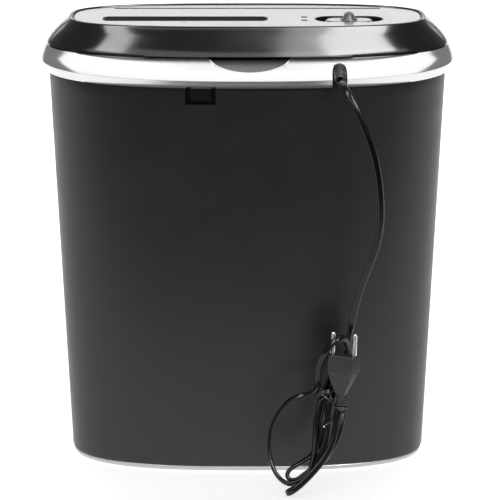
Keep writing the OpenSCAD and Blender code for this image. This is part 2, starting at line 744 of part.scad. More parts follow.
// Light gate under the lever, with the two ears that hold its pin
module sensor_switch() {
    color([0.08, 0.08, 0.09]) {
        translate([lever_x - 7, lever_pin[0] - 8, 344]) cube([14, 7.5, 6]);
        for (x = [lever_x - 5.5, lever_x + 3.5]) translate([x, lever_pin[0] - 3, 350]) difference() {
            cube([2, 6, lever_pin[1] + 3 - 350]);
            translate([-1, 3, lever_pin[1] - 350]) rotate([0, 90, 0]) cylinder(r = 1.5, h = 5);
        }
    }
}

module interlock_plunger() {
    color([0.9, 0.9, 0.88]) translate([158, 0, 334.3]) cylinder(r = 2, h = 6.4);
}

module interlock_switch() {
    color([0.08, 0.08, 0.09]) difference() {
        translate([150.8, -7, 336.3]) cube([10.4, 14, 6.4]);
        translate([158, 0, 330]) cylinder(r = 2 + run_fit, h = 11.2);
    }
}

// ---------- mains lead ----------

module cord_bush() {
    color([0.06, 0.06, 0.06]) translate([bush_at[0], 0, bush_at[2]]) rotate([-90, 0, 0]) {
        translate([0, 0, 73]) cylinder(r = 5.8, h = 2);
        translate([0, 0, 73]) cylinder(r = bush_r, h = 15);
        translate([0, 0, 88]) cylinder(r1 = bush_r, r2 = 4.4, h = bush_tip_y - 88);
    }
}

module cord_clamp() {
    color([0.20, 0.20, 0.21]) difference() {
        translate([-86, 61, 336.3]) cube([23, 8, 6.6]);
        translate([-77.3, 60, 336]) cube([5.6, 10, 4]);
        for (x = [-82, -67]) translate([x, 65, 330]) cylinder(d = 2.4, h = 20);
    }
    color([0.7, 0.7, 0.7]) for (x = [-82, -67]) translate([x, 65, 342.9]) mirror([0, 0, 1]) screw(2.4, 9);
}

module cord_lead() { color([0.03, 0.03, 0.03]) tube(bend(lead_route, 2), lead_d / 2, 8, [1, 0, 0]); }

module cord_loop() { color([0.03, 0.03, 0.03]) tube(bend(loop_route, 2), lead_d / 2, 8, [0, 1, 0.3]); }

module cord_tail() { color([0.03, 0.03, 0.03]) tube(bend(tail_route, 2), lead_d / 2, 8, [1, 0, 0]); }

module cord_hank() {
    way = hank_top - hank_foot;
    reach = norm(way);
    swing = atan2(way[0], way[2]);
    lean = -atan2(way[1], norm([way[0], way[2]]));
    color([0.04, 0.04, 0.04]) translate(hank_foot) rotate([0, swing, 0]) rotate([lean, 0, 0])
        rotate([90, 0, 0]) translate([0, reach / 2, -hank_t / 2]) linear_extrude(hank_t)
            rotate(90) stadium(reach + hank_w * 0.8, hank_w);
}

// Flat two-pin plug, drawn upright with the lead at its foot
module plug() {
    body_h = 47;
    body_t = 13.7;
    color([0.10, 0.10, 0.10]) translate(plug_foot) rotate(plug_lean) rotate([0, 0, plug_turn]) {
        translate([0, body_t / 2, 0]) rotate([90, 0, 0]) linear_extrude(body_t)
            polygon([[-3.6, 3], [-4.4, 14], [-8, 22], [-13.6, 32], [-16.4, 36], [-16.4, body_h],
                     [16.4, body_h], [16.4, 36], [13.6, 32], [8, 22], [4.4, 14], [3.6, 3]]);
        cylinder(r = 4.6, h = 3);
    }
    color([0.8, 0.78, 0.7]) translate(plug_foot) rotate(plug_lean) rotate([0, 0, plug_turn])
        for (s = [-1, 1]) translate([s * pin_spacing / 2, 0, body_h - 1]) cylinder(d = pin_d, h = 19.5);
}

bin_shell();
trim_ring();
top_cover();
control_plate();
grip_inserts();
disc_guide();
switch_bezel();
switch_slider();
switch_knob();
switch_body();
led_windows();
led_lamps();
circuit_board();
board_parts();
board_screws();
head_base();
cover_screws();
chute_guard();
locating_tab();
throat_front();
throat_divider();
throat_rear();
side_plate_left();
side_plate_right();
tie_rods();
tie_rod_nuts();
shaft_bushes();
stripper_comb_front();
stripper_comb_rear();
cutter_shaft_a();
cutter_shaft_b();
cutter_discs_a();
cutter_discs_b();
sync_gear_a();
sync_gear_b();
drive_gear();
reduction_gear_1();
reduction_gear_2();
gear_axles();
axle_clips();
motor_can();
motor_magnets();
motor_end_bell();
motor_screws();
rotor_shaft();
armature();
motor_fan();
motor_pinion();
sensor_lever();
sensor_pin();
sensor_switch();
interlock_plunger();
interlock_switch();
cord_bush();
cord_clamp();
cord_lead();
cord_hank();
cord_loop();
cord_tail();
plug();
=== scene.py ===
"""Paper and disc shredder with a lift-off cutting head: the visual model, in metres, round its frame."""
import json
import math

import bmesh
import bpy
from mathutils import Euler, Matrix, Vector


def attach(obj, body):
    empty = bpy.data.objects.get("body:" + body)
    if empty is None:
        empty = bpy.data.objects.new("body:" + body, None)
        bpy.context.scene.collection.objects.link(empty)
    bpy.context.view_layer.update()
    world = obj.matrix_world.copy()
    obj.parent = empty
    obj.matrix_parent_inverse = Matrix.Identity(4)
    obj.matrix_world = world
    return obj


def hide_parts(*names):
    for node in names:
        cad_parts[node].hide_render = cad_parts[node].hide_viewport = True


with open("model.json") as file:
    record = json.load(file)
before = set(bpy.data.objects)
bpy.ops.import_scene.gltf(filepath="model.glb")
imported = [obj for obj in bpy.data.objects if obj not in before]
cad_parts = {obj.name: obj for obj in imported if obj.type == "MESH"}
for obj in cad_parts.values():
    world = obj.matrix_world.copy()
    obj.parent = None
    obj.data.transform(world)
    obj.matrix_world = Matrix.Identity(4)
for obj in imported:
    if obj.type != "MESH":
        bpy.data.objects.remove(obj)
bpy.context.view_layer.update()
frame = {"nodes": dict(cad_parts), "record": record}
nodes = frame["nodes"]
slot_of = {part["node"]: part["material_slot"] for part in frame["record"]["subparts"]}

MM = 0.001
OUTLINE_POINTS = 224
SHARP_ANGLE = math.radians(38)
RING_SHARP_ANGLE = math.radians(28)
PLATE_SHARP_ANGLE = math.radians(12)

# Bin and ring sizes in millimetres, as drafted
BIN_HALF = (163.6, 86.2)
BIN_HEIGHT = 334.0
FOOT_HALF = (147.5, 73.0)
FOOT_Z = 4.4
BIN_POWER = 2.65
BIN_WALL = 2.2
RING_HALF = (170.0, 98.0)
COVER_HALF = (164.7, 65.0)
RIM_HALF = (146.5, 51.0)
DECK_Z = 371.3
# Cover flank from its foot to the rim: share of the way in, height; steeper at the foot
FLANK = [(0.0, 351.5), (0.02, 352.2), (0.065, 353.4), (0.14, 355.2),
         (0.24, 357.3), (0.43, 360.8), (0.68, 365.1), (1.0, 370.4)]
DECK_SLOPE = 0.022
# Openings: place in the deck (x, y) and size (length, width)
PAPER_SLOT = (0.0, -32.3, 222.0, 5.0)
DISC_RECESS = (51.0, 12.0, 136.0, 20.0)
SWITCH_RECESS = (-83.4, 13.1, 57.0, 25.8)
# Top of the mode switch's slider, below the control plate's top
SLIDER_TOP = -0.6
LAMP_WINDOWS = [(-46.8, 5.0, 5.3), (-46.8, 18.4, 5.3)]
# Reach of the openings' cutters, below and above the control plate's top
DECK_CUT = (-9, 4)
BUSH_AXIS = (-74.5, 342.5)
TAB_X = 37.8
GRIP_CENTRE = (-2.0, 49.8)
GRIP_RADIUS = 36.4

# The lead's flat section: width and thickness in millimetres
LEAD_WIDTH = 5.4
LEAD_THICK = 3.4
PLUG_FOOT = (-76.0, 117.0, 67.0)
PLUG_LEAN = (6.0, -2.0, -6.0)
PLUG_TURN = -14.0
PIN_SPACING = 18.6
# Direction that the lead's flat side faces where its twist is 0: back and a little up
FLAT_FACES = (0, 0.962, 0.272)

# Way of the lead in millimetres, with its twist in degrees: 0 shows the flat side to the back
LEAD_ROUTE = [
    # out of the bush and down to the back of the plug
    (-75, 108, 342, 0), (-77, 118, 340, 0), (-82, 127, 333, 0), (-88, 132, 322, 0), (-95, 135, 306, 0),
    (-101, 136, 288, 0), (-105, 135, 268, 0), (-107, 133, 248, 0), (-107, 130, 228, 0),
    (-104, 126, 209, 0), (-98, 121, 190, 0), (-92, 115, 170, 0), (-87.5, 109, 151, 0),
    (-84.6, 103, 134, 0), (-83.1, 92, 119.4, 10), (-79.7, 89, 105.6, 10), (-76.1, 91, 94.2, 0),
    (-71.7, 96.5, 86.4, 0), (-68.6, 102, 80.9, 0),
    # down the middle of the hank and round its small foot loop
    (-66.9, 106.5, 74.2, 0), (-64.7, 109, 65.5, 10), (-62.6, 112.5, 57.2, 15), (-60.8, 116, 47.2, 15),
    (-57.8, 118.5, 37.7, 20), (-53.3, 120, 30.4, 50), (-47.2, 121, 26.2, 80), (-41.5, 123, 23.4, 88),
    (-35.6, 125.3, 20.5, 88), (-32, 127.5, 16.6, 88), (-33.7, 129.8, 12.2, 85), (-40, 130.3, 12.4, 75),
    (-45.5, 128.5, 15.6, 50), (-52.1, 126.5, 19.7, 30),
    # up the right side and behind the plug
    (-59.4, 125.3, 24.9, 10), (-66.3, 124, 32.6, 0), (-71.6, 121.8, 41.4, 0), (-75.2, 118.5, 50.6, 0),
    (-77.3, 114.5, 59.6, 0), (-78.3, 109, 68.5, 10), (-79.6, 104, 78.5, 10), (-81.2, 100.3, 90.2, 10),
    (-83, 99, 103.6, 15), (-83.1, 101, 114.5, 30),
    # over the top fold and down its left strand
    (-79.6, 107, 125.4, 45), (-74.5, 112.5, 128.1, 40), (-69.1, 114.6, 124.3, 30),
    (-64.4, 114.3, 117.3, 20), (-60.1, 111.5, 108.8, 20), (-57.7, 108.5, 98.8, 20),
    (-58, 107.5, 90, 30), (-57.4, 109, 83.6, 50), (-52.9, 111, 79.9, 40),
    # the wide loop
    (-46.3, 112, 78.9, 20), (-40.2, 111.5, 77, 40), (-33.1, 110.5, 72.5, 75), (-26.1, 110.5, 64, 88),
    (-20.6, 111.8, 53.5, 88), (-18.1, 114, 41.3, 88), (-18.2, 118.5, 29.9, 88), (-21, 124, 20.6, 85),
    (-25.9, 129, 13.8, 75), (-32.2, 133, 10.2, 60), (-39.3, 134.2, 11, 50), (-46.1, 133, 14.5, 40),
    # up the left side of the hank
    (-51.2, 130, 19.6, 30), (-53.7, 126.8, 26.7, 25), (-55.2, 122.5, 35.6, 25), (-55.8, 118, 45.3, 25),
    (-56.5, 114, 55.1, 25), (-58.5, 110.3, 66, 20), (-61.4, 106.3, 75, 10), (-64.9, 100, 82, 0),
    # one turn hidden behind the plug
    (-68.7, 93.5, 88.9, 0), (-73.3, 86.5, 96.2, 20), (-79.1, 83, 101.1, 60), (-84.8, 84, 100.1, 60),
    (-86.9, 87, 93.8, 50), (-83.1, 91.5, 86.6, 20), (-76.8, 98.5, 81.9, 10), (-70.5, 107.5, 78.8, 0),
    # down the right of the middle to the bottom fold
    (-67.2, 111.5, 72.4, 0), (-66, 114, 63.7, 10), (-65.5, 117, 54.4, 10), (-63.9, 121, 43.7, 10),
    (-60.2, 124.6, 32, 0), (-54.9, 126, 22.1, 0), (-48.4, 127.5, 13.6, 0), (-41.9, 128.8, 6.7, 0),
    (-36.7, 129, 3.2, 0), (-32.9, 131.2, 2.2, 0), (-32.7, 136.2, 3.0, 0), (-36.7, 139.2, 5.8, 0),
    # the tail, up to the plug
    (-44.2, 137.6, 11.5, 0), (-51.9, 135, 18.7, 0), (-60.1, 131.6, 27.5, 0), (-66.2, 128, 36.2, 0),
    (-69.9, 124.6, 44.5, 0), (-71.7, 121.8, 52.6, 0), (-73.1, 119.6, 60.4, 0), (-74.7, 117.8, 67.1, 0),
    (-76.1, 116.7, 70, 0)]


# ---------- meshes ----------

def make_piece(name, mesh, material=None):
    """A new object from mesh data, shaded smooth between its sharp edges."""
    piece = bpy.data.objects.new(name, mesh)
    bpy.context.scene.collection.objects.link(piece)
    if material:
        mesh.materials.append(material)
    smooth_shade(piece)
    return piece


def smooth_shade(piece, angle=SHARP_ANGLE):
    """Smooth shading, with edges sharper than the angle left crisp."""
    piece.data.shade_smooth()
    piece.data.set_sharp_from_angle(angle=angle)


def mesh_from(vertices, faces, name):
    """Mesh data with every face turned outwards."""
    mesh = bpy.data.meshes.new(name)
    mesh.from_pydata([tuple(v) for v in vertices], [], faces)
    mesh.update()
    shape = bmesh.new()
    shape.from_mesh(mesh)
    bmesh.ops.recalc_face_normals(shape, faces=shape.faces)
    shape.to_mesh(mesh)
    shape.free()
    return mesh


def loft(name, rings, closed=False, material=None):
    """Skin through rings of equal length, either closed from last to first or capped at both ends."""
    count = len(rings[0])
    vertices = [p for one in rings for p in one]
    faces = []
    for j in range(len(rings) if closed else len(rings) - 1):
        here, there = j * count, (j + 1) % len(rings) * count
        for i in range(count):
            k = (i + 1) % count
            faces.append((here + i, here + k, there + k, there + i))
    if not closed:
        faces.append(tuple(reversed(range(count))))
        faces.append(tuple(range((len(rings) - 1) * count, len(rings) * count)))
    return make_piece(name, mesh_from(vertices, faces, name), material)


def evenly_spaced(points, count):
    """count points at equal distances along a closed outline."""
    lengths = [0.0]
    for i, p in enumerate(points):
        q = points[(i + 1) % len(points)]
        lengths.append(lengths[-1] + math.hypot(q[0] - p[0], q[1] - p[1]))
    result, j = [], 0
    for i in range(count):
        want = lengths[-1] * i / count
        while lengths[j + 1] < want:
            j += 1
        p, q = points[j], points[(j + 1) % len(points)]
        f = (want - lengths[j]) / max(lengths[j + 1] - lengths[j], 1e-12)
        result.append((p[0] + (q[0] - p[0]) * f, p[1] + (q[1] - p[1]) * f))
    return result


def oval(half_x, half_y, power):
    """Superellipse outline in millimetres, as evenly spaced [x, y] points."""
    dense = []
    for i in range(OUTLINE_POINTS * 6):
        a = math.tau * i / (OUTLINE_POINTS * 6)
        c, s = math.cos(a), math.sin(a)
        dense.append((half_x * math.copysign(abs(c) ** (2 / power), c),
                      half_y * math.copysign(abs(s) ** (2 / power), s)))
    return evenly_spaced(dense, OUTLINE_POINTS)


def ring(half_x, half_y, power, z, slope=0.0):
    """Superellipse ring at height z, in metres; slope tips it about the X axis."""
    return [Vector((x, y, z + slope * y)) * MM for x, y in oval(half_x, half_y, power)]


def shell(name, profile, closed=False, material=None):
    """Loft through superellipse rings given as (half_x, half_y, power, z[, slope])."""
    return loft(name, [ring(*row) for row in profile], closed, material)


def rounded_outline(length, width, radius, steps=8):
    """Rounded rectangle outline in millimetres."""
    points = []
    for turn, (sx, sy) in enumerate([(1, 1), (-1, 1), (-1, -1), (1, -1)]):
        for i in range(steps + 1):
            a = math.pi / 2 * (turn + i / steps)
            points.append((sx * (length / 2 - radius) + radius * math.cos(a),
                           sy * (width / 2 - radius) + radius * math.sin(a)))
    return points


def prism(name, outline, low, high, place=Matrix.Identity(4), material=None):
    """Straight prism on an outline in millimetres, put in place by a matrix in metres."""
    rings = [[place @ (Vector((x, y, z)) * MM) for x, y in outline] for z in (low, high)]
    return loft(name, rings, material=material)


def turned(name, profile, place, count=48, material=None):
    """Solid of revolution about its own Z axis through (radius, height) rows in millimetres."""
    angles = [math.tau * i / count for i in range(count)]
    rings = [[place @ (Vector((r * math.cos(a), r * math.sin(a), z)) * MM) for a in angles]
             for r, z in profile]
    return loft(name, rings, material=material)


def apply_modifiers(piece):
    """Makes the piece's modifiers part of its mesh."""
    graph = bpy.context.evaluated_depsgraph_get()
    mesh = bpy.data.meshes.new_from_object(piece.evaluated_get(graph))
    piece.modifiers.clear()
    piece.data = mesh


def cut(piece, cutter):
    """Takes the cutter away from the piece, for good."""
    step = piece.modifiers.new("cut", "BOOLEAN")
    step.operation, step.object, step.solver = "DIFFERENCE", cutter, "EXACT"
    apply_modifiers(piece)
    bpy.data.objects.remove(cutter)
    smooth_shade(piece)


def round_edges(piece, width, segments=2, angle=40):
    """Small bevel on the sharp edges, as a live modifier."""
    step = piece.modifiers.new("rounded edges", "BEVEL")
    step.width, step.segments, step.limit_method = width * MM, segments, "ANGLE"
    step.angle_limit, step.harden_normals = math.radians(angle), True


def on_deck(x=0.0, y=0.0, z=0.0):
    """Place in the sloping plane of the deck, z = 0 on top of the control plate."""
    tilt = Matrix.Rotation(math.atan(DECK_SLOPE), 4, "X")
    return Matrix.Translation((0, 0, DECK_Z * MM)) @ tilt @ Matrix.Translation(Vector((x, y, z)) * MM)


# ---------- shader effects shared by the materials ----------

def new_effect(name, inputs, outputs):
    """Empty shader node group with named sockets; returns it with its input and output nodes."""
    group = bpy.data.node_groups.new(name, "ShaderNodeTree")
    for label, kind, value in inputs:
        socket = group.interface.new_socket(name=label, in_out="INPUT", socket_type=kind)
        socket.default_value = value
    for label, kind in outputs:
        group.interface.new_socket(name=label, in_out="OUTPUT", socket_type=kind)
    return group, group.nodes.new("NodeGroupInput"), group.nodes.new("NodeGroupOutput")


def add_node(tree, kind, **settings):
    """New shader node; a setting is a socket's value where there is such a socket, otherwise a property."""
    node = tree.nodes.new("ShaderNode" + kind)
    for key, value in settings.items():
        if key in node.inputs:
            node.inputs[key].default_value = value
        else:
            setattr(node, key, value)
    return node


def join(tree, source, target):
    """Link from one socket to another."""
    tree.links.new(source, target)


FLOAT, COLOUR = "NodeSocketFloat", "NodeSocketColor"
# Places of the colour sockets on a Mix node, whose float sockets share their names
MIX_FIRST, MIX_SECOND, MIX_RESULT = 6, 7, 2


def moulded_grain_effect():
    """Fine pebbled texture of moulded plastic, as a height."""
    group, given, result = new_effect(
        "moulded grain", [("Scale", FLOAT, 1500.0), ("Contrast", FLOAT, 1.0)], [("Height", FLOAT)])
    place = add_node(group, "TexCoord")
    cells = add_node(group, "TexVoronoi", feature="SMOOTH_F1")
    cloud = add_node(group, "TexNoise", Detail=3.0, Roughness=0.6)
    blend = add_node(group, "Math", operation="MULTIPLY_ADD")
    join(group, place.outputs["Object"], cells.inputs["Vector"])
    join(group, place.outputs["Object"], cloud.inputs["Vector"])
    join(group, given.outputs["Scale"], cells.inputs["Scale"])
    join(group, given.outputs["Scale"], cloud.inputs["Scale"])
    join(group, cells.outputs["Distance"], blend.inputs[0])
    join(group, given.outputs["Contrast"], blend.inputs[1])
    join(group, cloud.outputs["Fac"], blend.inputs[2])
    join(group, blend.outputs[0], result.inputs["Height"])
    return group


def tone_drift_effect():
    """Slow, cloudy change between two shades of a colour."""
    group, given, result = new_effect(
        "tone drift", [("Base", COLOUR, (0.5, 0.5, 0.5, 1)), ("Shade", COLOUR, (0.4, 0.4, 0.4, 1)),
                       ("Scale", FLOAT, 12.0)], [("Colour", COLOUR)])
    place = add_node(group, "TexCoord")
    cloud = add_node(group, "TexNoise", Detail=5.0, Roughness=0.55)
    mix = add_node(group, "Mix", data_type="RGBA")
    join(group, place.outputs["Object"], cloud.inputs["Vector"])
    join(group, given.outputs["Scale"], cloud.inputs["Scale"])
    join(group, cloud.outputs["Fac"], mix.inputs["Factor"])
    join(group, given.outputs["Base"], mix.inputs[MIX_FIRST])
    join(group, given.outputs["Shade"], mix.inputs[MIX_SECOND])
    join(group, mix.outputs[MIX_RESULT], result.inputs["Colour"])
    return group


def handling_effect():
    """Roughness that drifts with finger marks and wiping, between two values."""
    group, given, result = new_effect(
        "handling", [("Low", FLOAT, 0.3), ("High", FLOAT, 0.5), ("Scale", FLOAT, 25.0)],
        [("Roughness", FLOAT)])
    place = add_node(group, "TexCoord")
    smear = add_node(group, "TexNoise", Detail=4.0, Roughness=0.65, Distortion=0.8)
    spread = add_node(group, "MapRange")
    join(group, place.outputs["Object"], smear.inputs["Vector"])
    join(group, given.outputs["Scale"], smear.inputs["Scale"])
    join(group, smear.outputs["Fac"], spread.inputs["Value"])
    spread.inputs["From Min"].default_value = 0.35
    spread.inputs["From Max"].default_value = 0.65
    join(group, given.outputs["Low"], spread.inputs["To Min"])
    join(group, given.outputs["High"], spread.inputs["To Max"])
    join(group, spread.outputs["Result"], result.inputs["Roughness"])
    return group


def edge_wear_effect():
    """Lighter colour where edges stand proud and get rubbed."""
    group, given, result = new_effect(
        "edge wear", [("Base", COLOUR, (0.5, 0.5, 0.5, 1)), ("Worn", COLOUR, (0.7, 0.7, 0.7, 1)),
                      ("Amount", FLOAT, 0.5)], [("Colour", COLOUR)])
    form = add_node(group, "NewGeometry")
    ramp = add_node(group, "MapRange")
    ramp.inputs["From Min"].default_value = 0.52
    ramp.inputs["From Max"].default_value = 0.62
    patchy = add_node(group, "TexNoise", Scale=180.0, Detail=3.0)
    place = add_node(group, "TexCoord")
    both = add_node(group, "Math", operation="MULTIPLY")
    amount = add_node(group, "Math", operation="MULTIPLY")
    mix = add_node(group, "Mix", data_type="RGBA")
    join(group, form.outputs["Pointiness"], ramp.inputs["Value"])
    join(group, place.outputs["Object"], patchy.inputs["Vector"])
    join(group, ramp.outputs["Result"], both.inputs[0])
    join(group, patchy.outputs["Fac"], both.inputs[1])
    join(group, both.outputs[0], amount.inputs[0])
    join(group, given.outputs["Amount"], amount.inputs[1])
    join(group, amount.outputs[0], mix.inputs["Factor"])
    join(group, given.outputs["Base"], mix.inputs[MIX_FIRST])
    join(group, given.outputs["Worn"], mix.inputs[MIX_SECOND])
    join(group, mix.outputs[MIX_RESULT], result.inputs["Colour"])
    return group


def brushed_effect():
    """Long fine scratches along X, as a height."""
    group, given, result = new_effect("brushed", [("Scale", FLOAT, 900.0)], [("Height", FLOAT)])
    place = add_node(group, "TexCoord")
    stretch = add_node(group, "Mapping", Scale=(0.02, 1.0, 1.0))
    lines = add_node(group, "TexNoise", Detail=2.0, Roughness=0.7)
    join(group, place.outputs["Object"], stretch.inputs["Vector"])
    join(group, stretch.outputs["Vector"], lines.inputs["Vector"])
    join(group, given.outputs["Scale"], lines.inputs["Scale"])
    join(group, lines.outputs["Fac"], result.inputs["Height"])
    return group


def dust_effect():
    """Thin dust on what faces up."""
    group, given, result = new_effect(
        "dust", [("Base", COLOUR, (0.1, 0.1, 0.1, 1)), ("Dust", COLOUR, (0.5, 0.48, 0.45, 1)),
                 ("Amount", FLOAT, 0.1)], [("Colour", COLOUR)])
    form = add_node(group, "NewGeometry")
    split = add_node(group, "SeparateXYZ")
    place = add_node(group, "TexCoord")
    specks = add_node(group, "TexNoise", Scale=700.0, Detail=6.0, Roughness=0.7)
    up = add_node(group, "Math", operation="MULTIPLY", use_clamp=True)
    amount = add_node(group, "Math", operation="MULTIPLY", use_clamp=True)
    mix = add_node(group, "Mix", data_type="RGBA")
    join(group, form.outputs["Normal"], split.inputs[0])
    join(group, place.outputs["Object"], specks.inputs["Vector"])
    join(group, split.outputs["Z"], up.inputs[0])
    join(group, specks.outputs["Fac"], up.inputs[1])
    join(group, up.outputs[0], amount.inputs[0])
    join(group, given.outputs["Amount"], amount.inputs[1])
    join(group, amount.outputs[0], mix.inputs["Factor"])
    join(group, given.outputs["Base"], mix.inputs[MIX_FIRST])
    join(group, given.outputs["Dust"], mix.inputs[MIX_SECOND])
    join(group, mix.outputs[MIX_RESULT], result.inputs["Colour"])
    return group


def painted_floor_light_effect():
    """Painted light on the floor: an emitted glow round the machine that washes out its shadows, and painted
    shade that darkens the colour towards the camera side.
    """
    group, given, result = new_effect(
        "painted floor light", [("Base", COLOUR, (0.9, 0.9, 0.9, 1)), ("Far", COLOUR, (0.3, 0.3, 0.3, 1)),
                       ("Glow", FLOAT, 0.5), ("Start", FLOAT, 0.3), ("End", FLOAT, 0.8)],
        [("Colour", COLOUR), ("Glow", FLOAT)])
    # Painted light: the Y position sets the floor's painted shade (the dark far colour) and lowers its
    # emitted glow with it
    place = add_node(group, "TexCoord")
    split = add_node(group, "SeparateXYZ")
    fade = add_node(group, "MapRange", interpolation_type="SMOOTHSTEP")
    mix = add_node(group, "Mix", data_type="RGBA")
    rest = add_node(group, "Math", operation="SUBTRACT")
    glow = add_node(group, "Math", operation="MULTIPLY")
    join(group, place.outputs["Object"], split.inputs[0])
    join(group, split.outputs["Y"], fade.inputs["Value"])
    join(group, given.outputs["Start"], fade.inputs["From Min"])
    join(group, given.outputs["End"], fade.inputs["From Max"])
    join(group, fade.outputs["Result"], mix.inputs["Factor"])
    join(group, given.outputs["Base"], mix.inputs[MIX_FIRST])
    join(group, given.outputs["Far"], mix.inputs[MIX_SECOND])
    join(group, mix.outputs[MIX_RESULT], result.inputs["Colour"])
    rest.inputs[0].default_value = 1.0
    join(group, fade.outputs["Result"], rest.inputs[1])
    join(group, rest.outputs[0], glow.inputs[0])
    join(group, given.outputs["Glow"], glow.inputs[1])
    join(group, glow.outputs[0], result.inputs["Glow"])
    return group


EFFECTS = {"grain": moulded_grain_effect(), "drift": tone_drift_effect(), "handling": handling_effect(),
           "wear": edge_wear_effect(), "brushed": brushed_effect(), "dust": dust_effect(),
           "fade": painted_floor_light_effect()}


def place_effect(tree, name, **values):
    """Shared effect placed in a material, with its own values."""
    node = tree.nodes.new("ShaderNodeGroup")
    node.node_tree = EFFECTS[name]
    for key, value in values.items():
        node.inputs[key].default_value = value
    return node


def grey(value, warm=0.0):
    """Grey as a colour with alpha; warm leans it towards yellow."""
    return (value * (1 + warm), value, value * (1 - warm), 1.0)


def finish_material(name, colour, shade=None, roughness=(0.4, 0.5), metallic=0.0, specular=0.5,
                    coat=0.0, coat_roughness=0.1, grain=None, brushed=None, bump=0.1, wear=None,
                    dust=0.0, drift_scale=12.0, smear_scale=25.0):
    """Finish made of the shared effects: drifting tone, handling marks, grain or brushing, wear and dust."""
    material = bpy.data.materials.new(name)
    material.use_nodes = True
    tree = material.node_tree
    surface = tree.nodes["Principled BSDF"]
    surface.inputs["Metallic"].default_value = metallic
    surface.inputs["Specular IOR Level"].default_value = specular
    surface.inputs["Coat Weight"].default_value = coat
    surface.inputs["Coat Roughness"].default_value = coat_roughness
    shade = shade or tuple(c * 0.8 for c in colour[:3]) + (1.0,)
    tone = place_effect(tree, "drift", Base=colour, Shade=shade, Scale=drift_scale)
    last = tone.outputs["Colour"]
    if wear:
        rubbed = place_effect(tree, "wear", Worn=wear[0], Amount=wear[1])
        join(tree, last, rubbed.inputs["Base"])
        last = rubbed.outputs["Colour"]
    if dust:
        veil = place_effect(tree, "dust", Amount=dust)
        join(tree, last, veil.inputs["Base"])
        last = veil.outputs["Colour"]
    join(tree, last, surface.inputs["Base Color"])
    marks = place_effect(tree, "handling", Low=roughness[0], High=roughness[1], Scale=smear_scale)
    join(tree, marks.outputs["Roughness"], surface.inputs["Roughness"])
    relief = None
    if grain:
        relief = place_effect(tree, "grain", Scale=grain)
    elif brushed:
        relief = place_effect(tree, "brushed", Scale=brushed)
    if relief:
        bumps = add_node(tree, "Bump", Strength=bump, Distance=0.0002)
        join(tree, relief.outputs["Height"], bumps.inputs["Height"])
        join(tree, bumps.outputs["Normal"], surface.inputs["Normal"])
    return material


